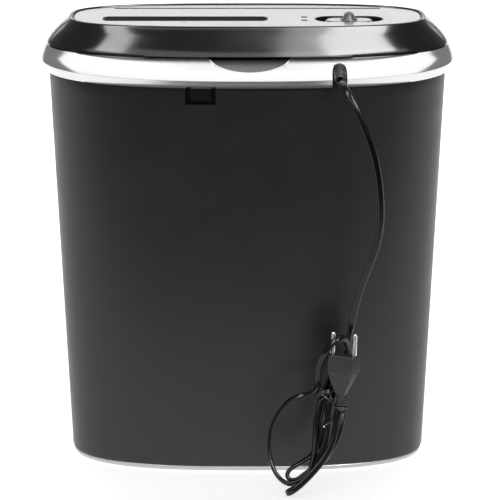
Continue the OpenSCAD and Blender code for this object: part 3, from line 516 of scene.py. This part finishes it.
FINISHES = {
    "bin_plastic": finish_material("bin plastic", grey(0.008), grey(0.007), (0.39, 0.43), specular=0.58,
                                   grain=1400, bump=0.10, wear=(grey(0.06), 0.4), drift_scale=6),
    "ring_silver": finish_material("ring silver paint", grey(0.76), grey(0.72), (0.15, 0.20), metallic=1.0,
                                   grain=5200, bump=0.03, drift_scale=20),
    "cover_black": finish_material("cover gloss black", grey(0.008), grey(0.006), (0.12, 0.16), specular=0.5,
                                   coat=0.3, coat_roughness=0.1, grain=2600, bump=0.03,
                                   wear=(grey(0.05), 0.3), drift_scale=10),
    "plate_silver": finish_material("control plate silver", grey(0.75), grey(0.71), (0.24, 0.29),
                                    metallic=1.0, brushed=1500, bump=0.02, drift_scale=15),
    "grip_grey": finish_material("grip insert grey", grey(0.48), grey(0.44), (0.55, 0.62),
                                 grain=1900, bump=0.2),
    "slot_black": finish_material("slot black", grey(0.008), grey(0.006), (0.30, 0.38),
                                  grain=1800, bump=0.06),
    "slider_silver": finish_material("slider silver", grey(0.74), grey(0.68), (0.20, 0.27), metallic=0.8,
                                     grain=4500, bump=0.03),
    "switch_plastic": finish_material("switch body plastic", (0.012, 0.018, 0.03, 1), None, (0.40, 0.48),
                                      grain=1500, bump=0.1),
    "window_dark": finish_material("lamp window", (0.012, 0.005, 0.006, 1), None, (0.70, 0.78), specular=0.02,
                                   drift_scale=40),
    "lamp_lens": finish_material("lamp lens", (0.45, 0.03, 0.02, 1), (0.30, 0.02, 0.02, 1), (0.15, 0.22)),
    "board_green": finish_material("circuit board", (0.015, 0.10, 0.04, 1), (0.01, 0.06, 0.03, 1),
                                   (0.30, 0.40), drift_scale=90, grain=900, bump=0.06, dust=0.15),
    "board_components": finish_material("board components", (0.03, 0.035, 0.06, 1), (0.02, 0.02, 0.02, 1),
                                        (0.35, 0.5), drift_scale=60, dust=0.1),
    "screw_steel": finish_material("screw steel", grey(0.55), grey(0.48), (0.22, 0.32), metallic=1.0,
                                   grain=2500, bump=0.06, drift_scale=200),
    "head_plastic": finish_material("head base plastic", grey(0.020), grey(0.016), (0.42, 0.52), specular=0.4,
                                    grain=1300, bump=0.15, dust=0.12),
    "tab_black": finish_material("locating tab black", grey(0.012), grey(0.009), (0.16, 0.22), specular=0.7,
                                 grain=2600, bump=0.04),
    "plate_steel": finish_material("plated steel", grey(0.52), grey(0.44), (0.28, 0.40), metallic=1.0,
                                   brushed=900, bump=0.08, drift_scale=30, dust=0.1),
    "rod_steel": finish_material("bright steel", grey(0.60), grey(0.52), (0.18, 0.26), metallic=1.0,
                                 grain=3000, bump=0.04, drift_scale=60),
    "bush_brass": finish_material("sintered bronze", (0.52, 0.34, 0.13, 1), (0.40, 0.25, 0.10, 1),
                                  (0.35, 0.45), metallic=1.0, grain=2600, bump=0.15),
    "comb_plastic": finish_material("comb plastic", (0.62, 0.58, 0.46, 1), (0.54, 0.50, 0.40, 1),
                                    (0.42, 0.5), grain=1400, bump=0.08, dust=0.25),
    "cutter_steel": finish_material("cutter steel", grey(0.36), grey(0.26), (0.26, 0.42), metallic=1.0,
                                    wear=(grey(0.7), 0.7), grain=1200, bump=0.1, drift_scale=50, dust=0.1),
    "gear_plastic": finish_material("gear plastic", (0.70, 0.67, 0.56, 1), (0.62, 0.58, 0.46, 1),
                                    (0.32, 0.42), grain=1600, bump=0.06, drift_scale=40),
    "clip_steel": finish_material("spring steel", grey(0.16), grey(0.12), (0.3, 0.4), metallic=1.0,
                                  grain=2500, bump=0.05),
    "motor_steel": finish_material("motor can steel", grey(0.48), grey(0.40), (0.30, 0.42), metallic=1.0,
                                   brushed=700, bump=0.06, drift_scale=35),
    "magnet_dark": finish_material("magnet ferrite", grey(0.05), grey(0.035), (0.5, 0.6),
                                   grain=900, bump=0.2),
    "winding_copper": finish_material("copper winding", (0.42, 0.15, 0.06, 1), (0.30, 0.10, 0.04, 1),
                                      (0.25, 0.36), metallic=0.8, brushed=2500, bump=0.3, drift_scale=80),
    "lever_white": finish_material("lever white", grey(0.66, 0.02), grey(0.60, 0.02), (0.30, 0.38),
                                   grain=1800, bump=0.05, dust=0.2),
    "cord_rubber": finish_material("bush rubber", grey(0.030), grey(0.022), (0.36, 0.46),
                                   grain=1500, bump=0.15),
    "cord_pvc": finish_material("lead sheath", grey(0.006), grey(0.004), (0.13, 0.19), specular=0.4,
                                grain=1100, bump=0.04, drift_scale=60, smear_scale=90),
    "plug_pvc": finish_material("plug body", grey(0.045), grey(0.036), (0.46, 0.56), grain=1200, bump=0.25,
                                wear=(grey(0.10), 0.4), drift_scale=60),
}
PIN_NICKEL = finish_material("pin nickel", grey(0.92), grey(0.86), (0.20, 0.28), metallic=1.0,
                             grain=3500, bump=0.02, drift_scale=120)
FOOT_SILVER = finish_material("foot band silver", grey(0.62), grey(0.56), (0.30, 0.38), metallic=0.3,
                              grain=2600, bump=0.04)
KNOB_GREY = finish_material("knob satin grey", grey(0.26), grey(0.22), (0.34, 0.40), specular=0.45,
                            grain=3200, bump=0.03, drift_scale=90)
PRINT_WHITE = finish_material("print white", grey(0.92), grey(0.88), (0.5, 0.6), grain=3000, bump=0.05)
WIRE_TIE = finish_material("wire tie sheath", grey(0.008), grey(0.006), (0.14, 0.22), specular=0.7,
                           grain=1500, bump=0.05)


# ---------- camera, light and floor ----------

CAMERA_PLACE = (-0.0022, 3.2, 1.0763)
CAMERA_LENS = 285.84
CAMERA_DIP = 15.8
SKY_STRENGTH = 0.24
MACHINE_MIDDLE = Vector((0, 0, 0.25))

# Lights: name, azimuth, elevation, distance, width, height, radiance; angles in degrees, sizes in metres
ROOM_PANELS = [
    ("backdrop wash", 180, 59, 2.5, 3.4, 1.6, 1.1),
    ("low back panel", 180, 16, 2.8, 3.6, 0.8, 0.85),
    ("right wall", 160, 34, 2.0, 0.5, 1.5, 1.2),
    ("left wall", -160, 34, 2.0, 0.5, 1.5, 1.2)]
REFLECTED_PANEL = ("camera side fill", 0, 34, 2.4, 5.0, 0.9, 1.3)
REFLECTED_STRIPS = [
    ("right strip", 31, 55, 1.57, 0.50, 1.5, 14.5),
    ("right strip edge", 10, 55, 1.57, 0.17, 1.5, 5.0),
    ("left strip", -41, 55, 1.57, 0.27, 1.5, 8.0)]


def set_camera():
    """Long lens behind the machine, a little above it."""
    data = bpy.data.cameras.new("camera")
    data.sensor_width, data.lens = 36.0, CAMERA_LENS
    data.clip_start, data.clip_end = 0.1, 40.0
    camera = bpy.data.objects.new("camera", data)
    camera.location = CAMERA_PLACE
    camera.rotation_euler = Euler((math.radians(90 - CAMERA_DIP), 0, math.radians(180)))
    bpy.context.scene.collection.objects.link(camera)
    bpy.context.scene.camera = camera


def softbox(name, azimuth, elevation, distance, width, height, radiance, lights_matte=True, upright=False):
    """Area light facing the machine; azimuth 0 is behind it (+Y) and grows towards -X.

    One that doesn't light matte surfaces shows only as a reflection, and an upright one isn't tipped down.
    """
    a, e = math.radians(azimuth), math.radians(elevation)
    away = Vector((-math.sin(a) * math.cos(e), math.cos(a) * math.cos(e), math.sin(e)))
    data = bpy.data.lights.new(name, "AREA")
    data.shape, data.size, data.size_y = "RECTANGLE", width, height
    data.energy = radiance * math.pi * width * height
    lamp = bpy.data.objects.new(name, data)
    lamp.location = MACHINE_MIDDLE + away * distance
    facing = Vector((away.x, away.y, 0)) if upright else away
    lamp.rotation_euler = facing.to_track_quat("Z", "Y").to_euler()
    lamp.visible_camera = False
    lamp.visible_diffuse = lights_matte
    bpy.context.scene.collection.objects.link(lamp)


def set_light():
    """Even white sky and soft panels, with tall strips that show only as reflections."""
    world = bpy.data.worlds.new("studio")
    world.use_nodes = True
    sky = world.node_tree.nodes["Background"]
    sky.inputs["Color"].default_value = (1, 1, 1, 1)
    sky.inputs["Strength"].default_value = SKY_STRENGTH
    bpy.context.scene.world = world
    bpy.context.scene.view_settings.view_transform = "Standard"
    for row in ROOM_PANELS:
        softbox(*row)
    softbox(*REFLECTED_PANEL, lights_matte=False)
    for row in REFLECTED_STRIPS:
        softbox(*row, lights_matte=False, upright=True)


def lay_floor():
    """White floor with painted light: it glows round the machine to wash out shadows, and painted shade
    darkens it towards the camera side.
    """
    half, steps = 9.0, 12
    row = steps + 1
    vertices = [(half * (i / steps - 0.5) * 2, half * (j / steps - 0.5) * 2, 0)
                for j in range(row) for i in range(row)]
    faces = [(j * row + i, j * row + i + 1, (j + 1) * row + i + 1, (j + 1) * row + i)
             for j in range(steps) for i in range(steps)]
    paper = finish_material("floor paper with painted light", grey(0.94), grey(0.92), (0.6, 0.7), grain=400, bump=0.02)
    tree = paper.node_tree
    surface = tree.nodes["Principled BSDF"]
    tone = surface.inputs["Base Color"].links[0].from_socket
    # Painted light: the floor colour fades to dark grey as painted shade, and its glow drops, towards the
    # camera side
    fade = place_effect(tree, "fade", Far=grey(0.15), Glow=0.75, Start=0.24, End=0.62)
    join(tree, tone, fade.inputs["Base"])
    join(tree, fade.outputs["Colour"], surface.inputs["Base Color"])
    join(tree, fade.outputs["Glow"], surface.inputs["Emission Strength"])
    surface.inputs["Emission Color"].default_value = (1, 1, 1, 1)
    make_piece("floor", mesh_from(vertices, faces, "floor"), paper)


# ---------- mains lead ----------

def smooth_route(rows, step=2.0, passes=3):
    """Catmull-Rom curve through the route, evenly spaced and relaxed a little."""
    fine = []
    for i in range(len(rows) - 1):
        p0, p1, p2, p3 = (rows[max(i - 1, 0)], rows[i], rows[i + 1], rows[min(i + 2, len(rows) - 1)])
        for s in range(8):
            t = s / 8
            fine.append([0.5 * (2 * b + (c - a) * t + (2 * a - 5 * b + 4 * c - d) * t * t
                                + (3 * b - a - 3 * c + d) * t ** 3) for a, b, c, d in zip(p0, p1, p2, p3)])
    fine.append(list(rows[-1]))
    even = spaced(fine, step)
    for _ in range(passes):
        relaxed = [[0.25 * a + 0.5 * b + 0.25 * c for a, b, c in zip(*near)]
                   for near in zip(even, even[1:], even[2:])]
        even = [even[0]] + relaxed + [even[-1]]
    return spaced(even, step)


def spaced(rows, step):
    """Rows at equal distances along an open line whose first three values are a place."""
    lengths = [0.0]
    for a, b in zip(rows, rows[1:]):
        lengths.append(lengths[-1] + (Vector(b[:3]) - Vector(a[:3])).length)
    count, result, j = round(lengths[-1] / step), [], 0
    for i in range(count + 1):
        want = min(lengths[-1] * i / count, lengths[-1] - 1e-9)
        while lengths[j + 1] < want:
            j += 1
        f = (want - lengths[j]) / max(lengths[j + 1] - lengths[j], 1e-12)
        result.append([a + (b - a) * f for a, b in zip(rows[j], rows[j + 1])])
    return result


def flat_section(width, thick, steps=6):
    """Outline of the flat lead: two round cores in one sheath, with a faint waist."""
    points = []
    for side in (1, -1):
        for i in range(steps + 1):
            a = math.pi * (i / steps - 0.5)
            points.append((side * ((width - thick) / 2 + thick / 2 * math.cos(a)),
                           side * thick / 2 * math.sin(a)))
        points.append((0, side * thick * 0.46))
    return points


def sweep(name, rows, section, material):
    """Tube with a flat section along the route; its twist turns the flat side away from FLAT_FACES."""
    towards = Vector(FLAT_FACES)
    places = [Vector(row[:3]) for row in rows]
    rings, last = [], None
    for i, here in enumerate(places):
        along = (places[min(i + 1, len(places) - 1)] - places[max(i - 1, 0)]).normalized()
        face = (towards - along * towards.dot(along)).normalized()
        twist = math.radians(rows[i][3])
        flat = math.cos(twist) * face + math.sin(twist) * along.cross(face)
        if last is not None and flat.dot(last) < 0:
            flat = -flat
        if last is not None:
            flat = flat.lerp(last - along * last.dot(along), 0.6).normalized()
        last = flat
        wide = along.cross(flat)
        rings.append([(here + wide * u + flat * v) * MM for u, v in section])
    return loft(name, rings, material=material)


def plug_place():
    """Place of the plug: its foot, its lean and its turn about its own axis."""
    lean = Euler([math.radians(a) for a in PLUG_LEAN], "XYZ").to_matrix().to_4x4()
    turn = Matrix.Rotation(math.radians(PLUG_TURN), 4, "Z")
    return Matrix.Translation(Vector(PLUG_FOOT) * MM) @ lean @ turn


def plug_body():
    """Flat two-pin plug: six-sided body, gripping ridges, slotted neck and collar."""
    place = plug_place()
    # height, half width of the flat face, half width at the side ridge, half thickness
    stations = [(47.0, 9.4, 12.6, 6.2), (46.4, 10.2, 13.6, 6.8), (42.0, 10.3, 15.0, 6.85),
                (36.0, 10.3, 15.2, 6.85), (34.6, 10.2, 14.9, 6.8), (34.2, 9.9, 14.5, 6.2),
                (33.4, 9.9, 14.2, 6.2), (33.0, 10.1, 13.9, 6.75)]
    height, face, ridge, thick = 33.0, 10.1, 13.9, 6.75
    ridges, pitch, groove = 4, 2.35, 0.4
    for _ in range(ridges):
        for drop, sink in ((1.1, 0.0), (1.35, groove), (2.1, groove), (pitch, 0.0)):
            part = drop / pitch
            stations.append((height - drop, face - 0.62 * part, ridge - 1.25 * part,
                             thick - 0.32 * part - sink))
        height, face, ridge, thick = height - pitch, face - 0.62, ridge - 1.25, thick - 0.32
    stations += [(20.5, 6.0, 7.3, 5.0), (17.5, 4.6, 5.6, 4.5), (14.6, 3.4, 4.4, 4.1)]
    corners = ((-1, 0, 1), (1, 0, 1), (0, 1, 0), (1, 0, -1), (-1, 0, -1), (0, -1, 0))
    rings = []
    for height, face, ridge, thick in stations:
        rings.append([place @ (Vector((f * face + r * ridge, t * thick, height)) * MM)
                      for f, r, t in corners])
    body = loft("plug_body", rings, material=FINISHES["plug_pvc"])
    round_edges(body, 0.55, 3, 24)
    # radius, height
    neck_profile = [(3.9, 15.0), (3.9, 13.6), (2.6, 13.3), (2.6, 12.2), (3.8, 11.9), (3.8, 10.6),
                    (2.6, 10.3), (2.6, 9.6), (3.7, 9.3), (3.7, 7.2), (5.0, 6.9), (5.2, 6.3),
                    (5.0, 5.7), (3.6, 5.4), (3.6, 4.7), (5.6, 4.4), (5.9, 3.8), (5.6, 3.1),
                    (3.2, 2.9), (3.0, 1.4), (2.6, 0.8)]
    flattened = Matrix.Diagonal((1, 0.86, 1, 1))
    neck = turned("plug_neck", neck_profile, place @ flattened, 40, FINISHES["plug_pvc"])
    cheek = prism("plug_neck_cheeks", rounded_outline(4.4, 6.4, 1.2), 6.8, 15.2, place, FINISHES["plug_pvc"])
    round_edges(cheek, 0.3)
    pin_profile = [(2.0, 45.5), (2.0, 56.2), (1.82, 56.6), (1.82, 63.6), (1.6, 64.7), (1.0, 65.3),
                   (0.4, 65.5)]
    seat_profile = [(3.0, 46.6), (3.0, 47.2), (2.7, 47.5), (2.2, 47.5), (2.2, 46.6)]
    pins = []
    for side, name in ((1, "plug_pin_a"), (-1, "plug_pin_b")):
        at = place @ Matrix.Translation(Vector((side * PIN_SPACING / 2, 0, 0)) * MM)
        pins.append(turned(name, pin_profile, at, 32, PIN_NICKEL))
        pins.append(turned(name + "_seat", seat_profile, at, 32, FINISHES["plug_pvc"]))
    for piece in [body, neck, cheek] + pins:
        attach(piece, "head")
    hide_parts("plug")
    return [body, neck, cheek] + pins


def wire_tie():
    """Plastic-covered wire twisted twice round the neck of the hank, its ends left standing."""
    steps, turns, start = 56, 2.3, 0.15
    round_path = []
    for i in range(steps + 1):
        a = math.tau * (start + turns * i / steps)
        round_path.append((-63.8 + 8.6 * math.cos(a), 104.6 + 9.4 * math.sin(a),
                           83.4 - 3.4 * i / steps - 1.6 * math.cos(a)))
    ends = [(-62, 116.5, 80), (-66.5, 117.5, 77.5), (-70.5, 117, 73), (-71.6, 117.5, 67), (-70, 118.5, 61.5),
            (-66.5, 119, 57.6), (-63.6, 119.5, 55.4)]
    rows = [(*p, 0.0) for p in round_path[:-2] + ends]
    section = [(0.95 * math.cos(math.tau * i / 12), 0.95 * math.sin(math.tau * i / 12)) for i in range(12)]
    tie = sweep("wire_tie", smooth_route(rows, 1.2, 2), section, WIRE_TIE)
    tip = turned("wire_tie_tip", [(0.35, -0.6), (0.8, -0.2), (0.85, 0.6), (0.5, 1.2), (0.2, 1.3)],
                 Matrix.Translation(Vector((-63.0, 119.8, 54.6)) * MM)
                 @ Euler((0.6, 0.9, 0)).to_matrix().to_4x4(), 16, PIN_NICKEL)
    for piece in (tie, tip):
        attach(piece, "head")
    return [tie, tip]


def lead():
    """The flat lead, one length from the bush through the tied hank to the plug."""
    rows = smooth_route(LEAD_ROUTE)
    sheath = sweep("mains_lead", rows, flat_section(LEAD_WIDTH, LEAD_THICK), FINISHES["cord_pvc"])
    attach(sheath, "head")
    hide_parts("cord_lead", "cord_hank", "cord_loop", "cord_tail")
    plug_body() + wire_tie()


def strain_relief():
    """Tapered rubber bush in the ring's notch, with flexing grooves near its nose."""
    place = (Matrix.Translation(Vector((BUSH_AXIS[0], 0, BUSH_AXIS[1])) * MM)
             @ Matrix.Rotation(math.radians(-90), 4, "X"))
    profile = [(5.8, 73.0), (5.8, 75.0), (5.0, 75.3), (5.0, 88.0)]
    grooves, first, pitch = 3, 90.5, 4.2
    for i in range(grooves):
        y = first + pitch * i
        profile += [(5.0 - 0.03 * (y - 88), y), (4.0, y + 0.3), (4.0, y + 1.5),
                    (5.0 - 0.03 * (y - 86), y + 1.8)]
    profile += [(4.45, 104.5), (4.4, 106.4), (4.1, 107.3), (3.4, 107.9), (2.9, 108.0), (2.6, 107.0),
                (2.4, 104.0)]
    bush = turned("cord_strain_relief", profile, place, 48, FINISHES["cord_rubber"])
    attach(bush, "head")
    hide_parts("cord_bush")


# ---------- bin ----------

def bin_half(z):
    """Half width and half depth of the tapered bin at a height."""
    part = (z - FOOT_Z) / (BIN_HEIGHT - FOOT_Z)
    return [FOOT_HALF[k] + (BIN_HALF[k] - FOOT_HALF[k]) * part for k in (0, 1)]


def bin_ring(z, inset=0.0):
    """Row for shell() on the bin's outside, or inset from it."""
    half = bin_half(z)
    return (half[0] - inset, half[1] - inset, BIN_POWER, z)


def build_bin():
    """Tapered oval bin with a rolled rim edge, a rounded foot and the notch for the locating tab."""
    outside = [bin_ring(4.0, 1.7), bin_ring(4.2, 0.7), bin_ring(4.8, 0.25), bin_ring(6.0)]
    outside += [bin_ring(z) for z in (40, 90, 140, 190, 240, 290, 320, BIN_HEIGHT - 0.8)]
    rim = [bin_ring(BIN_HEIGHT - 0.2, 0.25), bin_ring(BIN_HEIGHT, 0.8), bin_ring(BIN_HEIGHT, BIN_WALL - 0.8),
           bin_ring(BIN_HEIGHT - 0.2, BIN_WALL - 0.25), bin_ring(BIN_HEIGHT - 0.8, BIN_WALL)]
    inside = [bin_ring(z, BIN_WALL) for z in (290, 190, 90, 12)]
    inside += [bin_ring(7.0, BIN_WALL + 0.9), bin_ring(4.4, BIN_WALL + 3.6), bin_ring(3.0, BIN_WALL + 8.0)]
    body = shell("bin_body", [bin_ring(1.2, 4.0), bin_ring(4.0, 3.9)] + outside + rim + inside,
                 material=FINISHES["bin_plastic"])
    notch = prism("notch", rounded_outline(24.6, 40, 0.8, 3), BIN_HEIGHT - 17.5, BIN_HEIGHT + 8,
                  Matrix.Translation((TAB_X * MM, 94 * MM, 0)))
    cut(body, notch)
    lug = prism("bin_interlock_lug", rounded_outline(8, 12, 1.0), 324, BIN_HEIGHT,
                Matrix.Translation((158 * MM, 0, 0)), FINISHES["bin_plastic"])
    round_edges(lug, 0.4)
    # inset in width and in depth, power of the outline, height
    band_rows = [(3.2, 3.0, 2.7, 0.9), (2.7, 2.3, 2.7, 0.0), (1.9, 1.6, 2.68, 0.3), (1.2, 0.9, 2.68, 1.4),
                 (0.6, 0.45, 2.66, 3.6), (0.9, 0.8, 2.65, 4.1), (3.8, 3.6, 2.65, 4.1)]
    band = shell("bin_foot_band", [(FOOT_HALF[0] - wide, FOOT_HALF[1] - deep, power, z)
                                   for wide, deep, power, z in band_rows], closed=True, material=FOOT_SILVER)
    for piece in (body, lug, band):
        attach(piece, "bin")
    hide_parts("bin_shell")


# ---------- head casings ----------

def finger_grip_cutter(side):
    """Upright cylinder that scoops a finger grip out of the ring; side 1 is the back, -1 the front."""
    centre = Matrix.Translation(Vector((GRIP_CENTRE[0], side * GRIP_CENTRE[1], 0)) * MM)
    return turned("grip cutter", [(GRIP_RADIUS, 336.0), (GRIP_RADIUS, 365.0)], centre, 128)


def build_ring():
    """Silver ring: undercut lip, rounded crease and a shoulder that rises to the cover."""
    a, b = RING_HALF
    ring_body = shell("trim_ring_shell", [
        (a - 3.3, b - 8.0, 2.6, 331.0), (a - 2.9, b - 7.4, 2.6, 331.3), (a - 1.5, b - 3.6, 2.56, 335.0),
        (a - 0.12, b - 0.4, 2.51, 338.55), (a, b, 2.5, 338.9), (a - 0.1, b - 0.5, 2.5, 339.2),
        (169.0, 89.6, 2.51, 342.6), (167.9, 82, 2.52, 344.8), (166.9, 73.5, 2.56, 347.4),
        (165.5, 66.0, 2.6, 350.25), (162, 63, 2.6, 350.5), (158, 60, 2.6, 350.6), (158, 60, 2.6, 348.4),
        (164.5, 70, 2.55, 345.9),
        (a - 3, b - 4, 2.5, 337.6), (a - 5.2, b - 9.5, 2.6, 331.2), (a - 4.8, b - 9.2, 2.6, 331.0)],
        closed=True, material=FINISHES["ring_silver"])
    for side in (1, -1):
        cut(ring_body, finger_grip_cutter(side))
    notch_outline = [(6 * math.cos(math.pi * i / 16), 6 * math.sin(math.pi * i / 16)) for i in range(17)]
    notch_outline += [(-6, -24), (6, -24)]
    along_back = (Matrix.Translation(Vector((BUSH_AXIS[0], 112, BUSH_AXIS[1])) * MM)
                  @ Matrix.Rotation(math.radians(90), 4, "X"))
    cut(ring_body, prism("notch", notch_outline, 0, 40, along_back))
    smooth_shade(ring_body, RING_SHARP_ANGLE)
    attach(ring_body, "head")
    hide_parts("trim_ring")


def deck_openings(grow=0.0):
    """Cutters for the slots, recesses and lamp windows in the deck, through it from below to above."""
    # place and size, corner radius or None for fully round ends, steps round a corner
    openings = [(PAPER_SLOT, None, 8), (DISC_RECESS, 6, 8), (SWITCH_RECESS, None, 14)]
    openings += [((x, y, size, size), 0.5, 3) for x, y, size in LAMP_WINDOWS]
    cutters = []
    for (x, y, length, width), radius, steps in openings:
        if radius is None:
            radius = (width + grow) / 2 - 0.01
        outline = rounded_outline(length + grow, width + grow, radius, steps)
        cutters.append(prism("opening", outline, DECK_CUT[0], DECK_CUT[1], on_deck(x, y)))
    return cutters


def build_cover():
    """Black sloped cover with a narrow rim round the control plate."""
    (ca, cb), (ra, rb) = COVER_HALF, RIM_HALF
    top = DECK_Z
    flank = [(ca - f * (ca - ra - 0.4), cb - f * (cb - rb - 0.4), 2.6 + 0.4 * f, z,
              DECK_SLOPE * (z - FLANK[0][1]) / (FLANK[-1][1] - FLANK[0][1])) for f, z in FLANK]
    cover = shell("top_cover_shell", [
        (ca - 2.4, cb - 2.4, 2.6, 350.9), (ca - 0.7, cb - 0.7, 2.6, 350.9),
        (ca - 0.15, cb - 0.15, 2.6, 351.1)]
        + flank + [
        (ra + 0.15, rb + 0.15, 3, top - 0.1, DECK_SLOPE), (ra - 0.3, rb - 0.3, 3, top + 0.6, DECK_SLOPE),
        (ra - 0.9, rb - 0.9, 3, top + 0.92, DECK_SLOPE), (ra - 1.6, rb - 1.6, 3, top + 1.0, DECK_SLOPE),
        (ra - 2.3, rb - 2.2, 3, top + 0.9, DECK_SLOPE), (ra - 2.8, rb - 2.7, 3, top + 0.5, DECK_SLOPE),
        (ra - 3.0, rb - 2.9, 3, top - 0.2, DECK_SLOPE), (ra - 3.0, rb - 2.9, 3, top - 1.5, DECK_SLOPE),
        (ra - 9.0, rb - 8.6, 3, top - 1.5, DECK_SLOPE), (ra - 9.0, rb - 8.6, 3, top - 4.0, DECK_SLOPE),
        (ra - 3.0, rb - 3.0, 3, top - 4.6, DECK_SLOPE), (ca - 2.8, cb - 2.6, 2.6, 352.0)],
        closed=True, material=FINISHES["cover_black"])
    deck = prism("top_cover_deck", oval(ra - 8.8, rb - 8.4, 3), -4.0, -1.55, on_deck(),
                 FINISHES["cover_black"])
    for opening in deck_openings():
        cut(deck, opening)
    for piece in (cover, deck):
        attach(piece, "head")
    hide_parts("top_cover")


def build_plate():
    """Silver control plate let into the cover, with its openings and a few plain printed marks."""
    a, b = RIM_HALF[0] - 4.4, RIM_HALF[1] - 4.2
    rows = [(a, b, -1.3), (a, b, -0.3), (a - 0.1, b - 0.1, -0.1), (a - 0.3, b - 0.3, 0.0)]
    plate = loft("control_plate_face", [[on_deck() @ (Vector((x, y, z)) * MM) for x, y in oval(p, q, 3)]
                                        for p, q, z in rows], material=FINISHES["plate_silver"])
    for opening in deck_openings(-0.4):
        cut(plate, opening)
    smooth_shade(plate, PLATE_SHARP_ANGLE)
    round_edges(plate, 0.22, 2, 50)
    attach(plate, "head")
    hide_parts("control_plate")
    marks = [("print_line", rounded_outline(62, 0.9, 0.4, 3), -11.5, 38.6),
             ("print_left", rounded_outline(4.2, 1.0, 0.45, 3), -69.6, 28.9),
             ("print_centre", rounded_outline(2.2, 2.2, 1.05, 5), -84.0, 28.9),
             ("print_right", rounded_outline(4.2, 1.0, 0.45, 3), -98.5, 28.9),
             ("print_disc", rounded_outline(5.4, 5.4, 2.65, 8), 51.5, 28.4)]
    for name, outline, x, y in marks:
        mark = prism(name, outline, -0.03, 0.06, on_deck(x, y), PRINT_WHITE)
        round_edges(mark, 0.02, 1)
        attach(mark, "head")


def build_knob():
    """Peaked grip of the mode switch: a ridge across the slider that flares out to a broad foot."""
    # half width, half depth, height above the slider
    rows = [(7.4, 7.9, 0.0), (7.0, 7.8, 0.4), (6.0, 7.5, 1.1), (5.1, 7.1, 2.0), (4.4, 6.6, 3.1),
            (4.1, 6.0, 4.2), (3.5, 5.2, 5.2), (2.5, 4.0, 5.95), (1.0, 2.4, 6.3)]
    foot = on_deck(SWITCH_RECESS[0], SWITCH_RECESS[1], SLIDER_TOP)
    knob = loft("switch_knob_grip", [[foot @ (Vector((x, y, z)) * MM) for x, y in oval(p, q, 2.3)]
                                     for p, q, z in rows], material=KNOB_GREY)
    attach(knob, "slider")
    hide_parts("switch_knob")


# ---------- carried-over nodes ----------

EDGE_ROUNDING = {
    "disc_guide": 0.25, "switch_bezel": 0.3, "switch_slider": 0.45, "led_windows": 0.3,
    "locating_tab": 0.35, "grip_inserts": 0.3, "sensor_lever": 0.3, "chute_guard": 0.3, "switch_body": 0.4,
    "circuit_board": 0.15, "throat_front": 0.2, "throat_divider": 0.2, "throat_rear": 0.2,
    "side_plate_left": 0.2, "side_plate_right": 0.2, "tie_rods": 0.4, "tie_rod_nuts": 0.3,
    "cutter_shaft_a": 0.5, "cutter_shaft_b": 0.5, "motor_can": 0.5, "motor_end_bell": 0.5,
    "gear_axles": 0.3, "rotor_shaft": 0.2, "interlock_plunger": 0.4, "interlock_switch": 0.4,
    "sensor_switch": 0.2, "cord_clamp": 0.3}


def dress_nodes():
    """Finish and softened edges for every CAD node that stays in view."""
    for name, node in nodes.items():
        if node.hide_render:
            continue
        finish = FINISHES[slot_of[name]]
        for place in node.material_slots:
            place.material = finish
        if name in EDGE_ROUNDING:
            round_edges(node, EDGE_ROUNDING[name])


set_camera()
set_light()
lay_floor()
strain_relief()
lead()
build_bin()
build_ring()
build_cover()
build_plate()
build_knob()
dress_nodes()
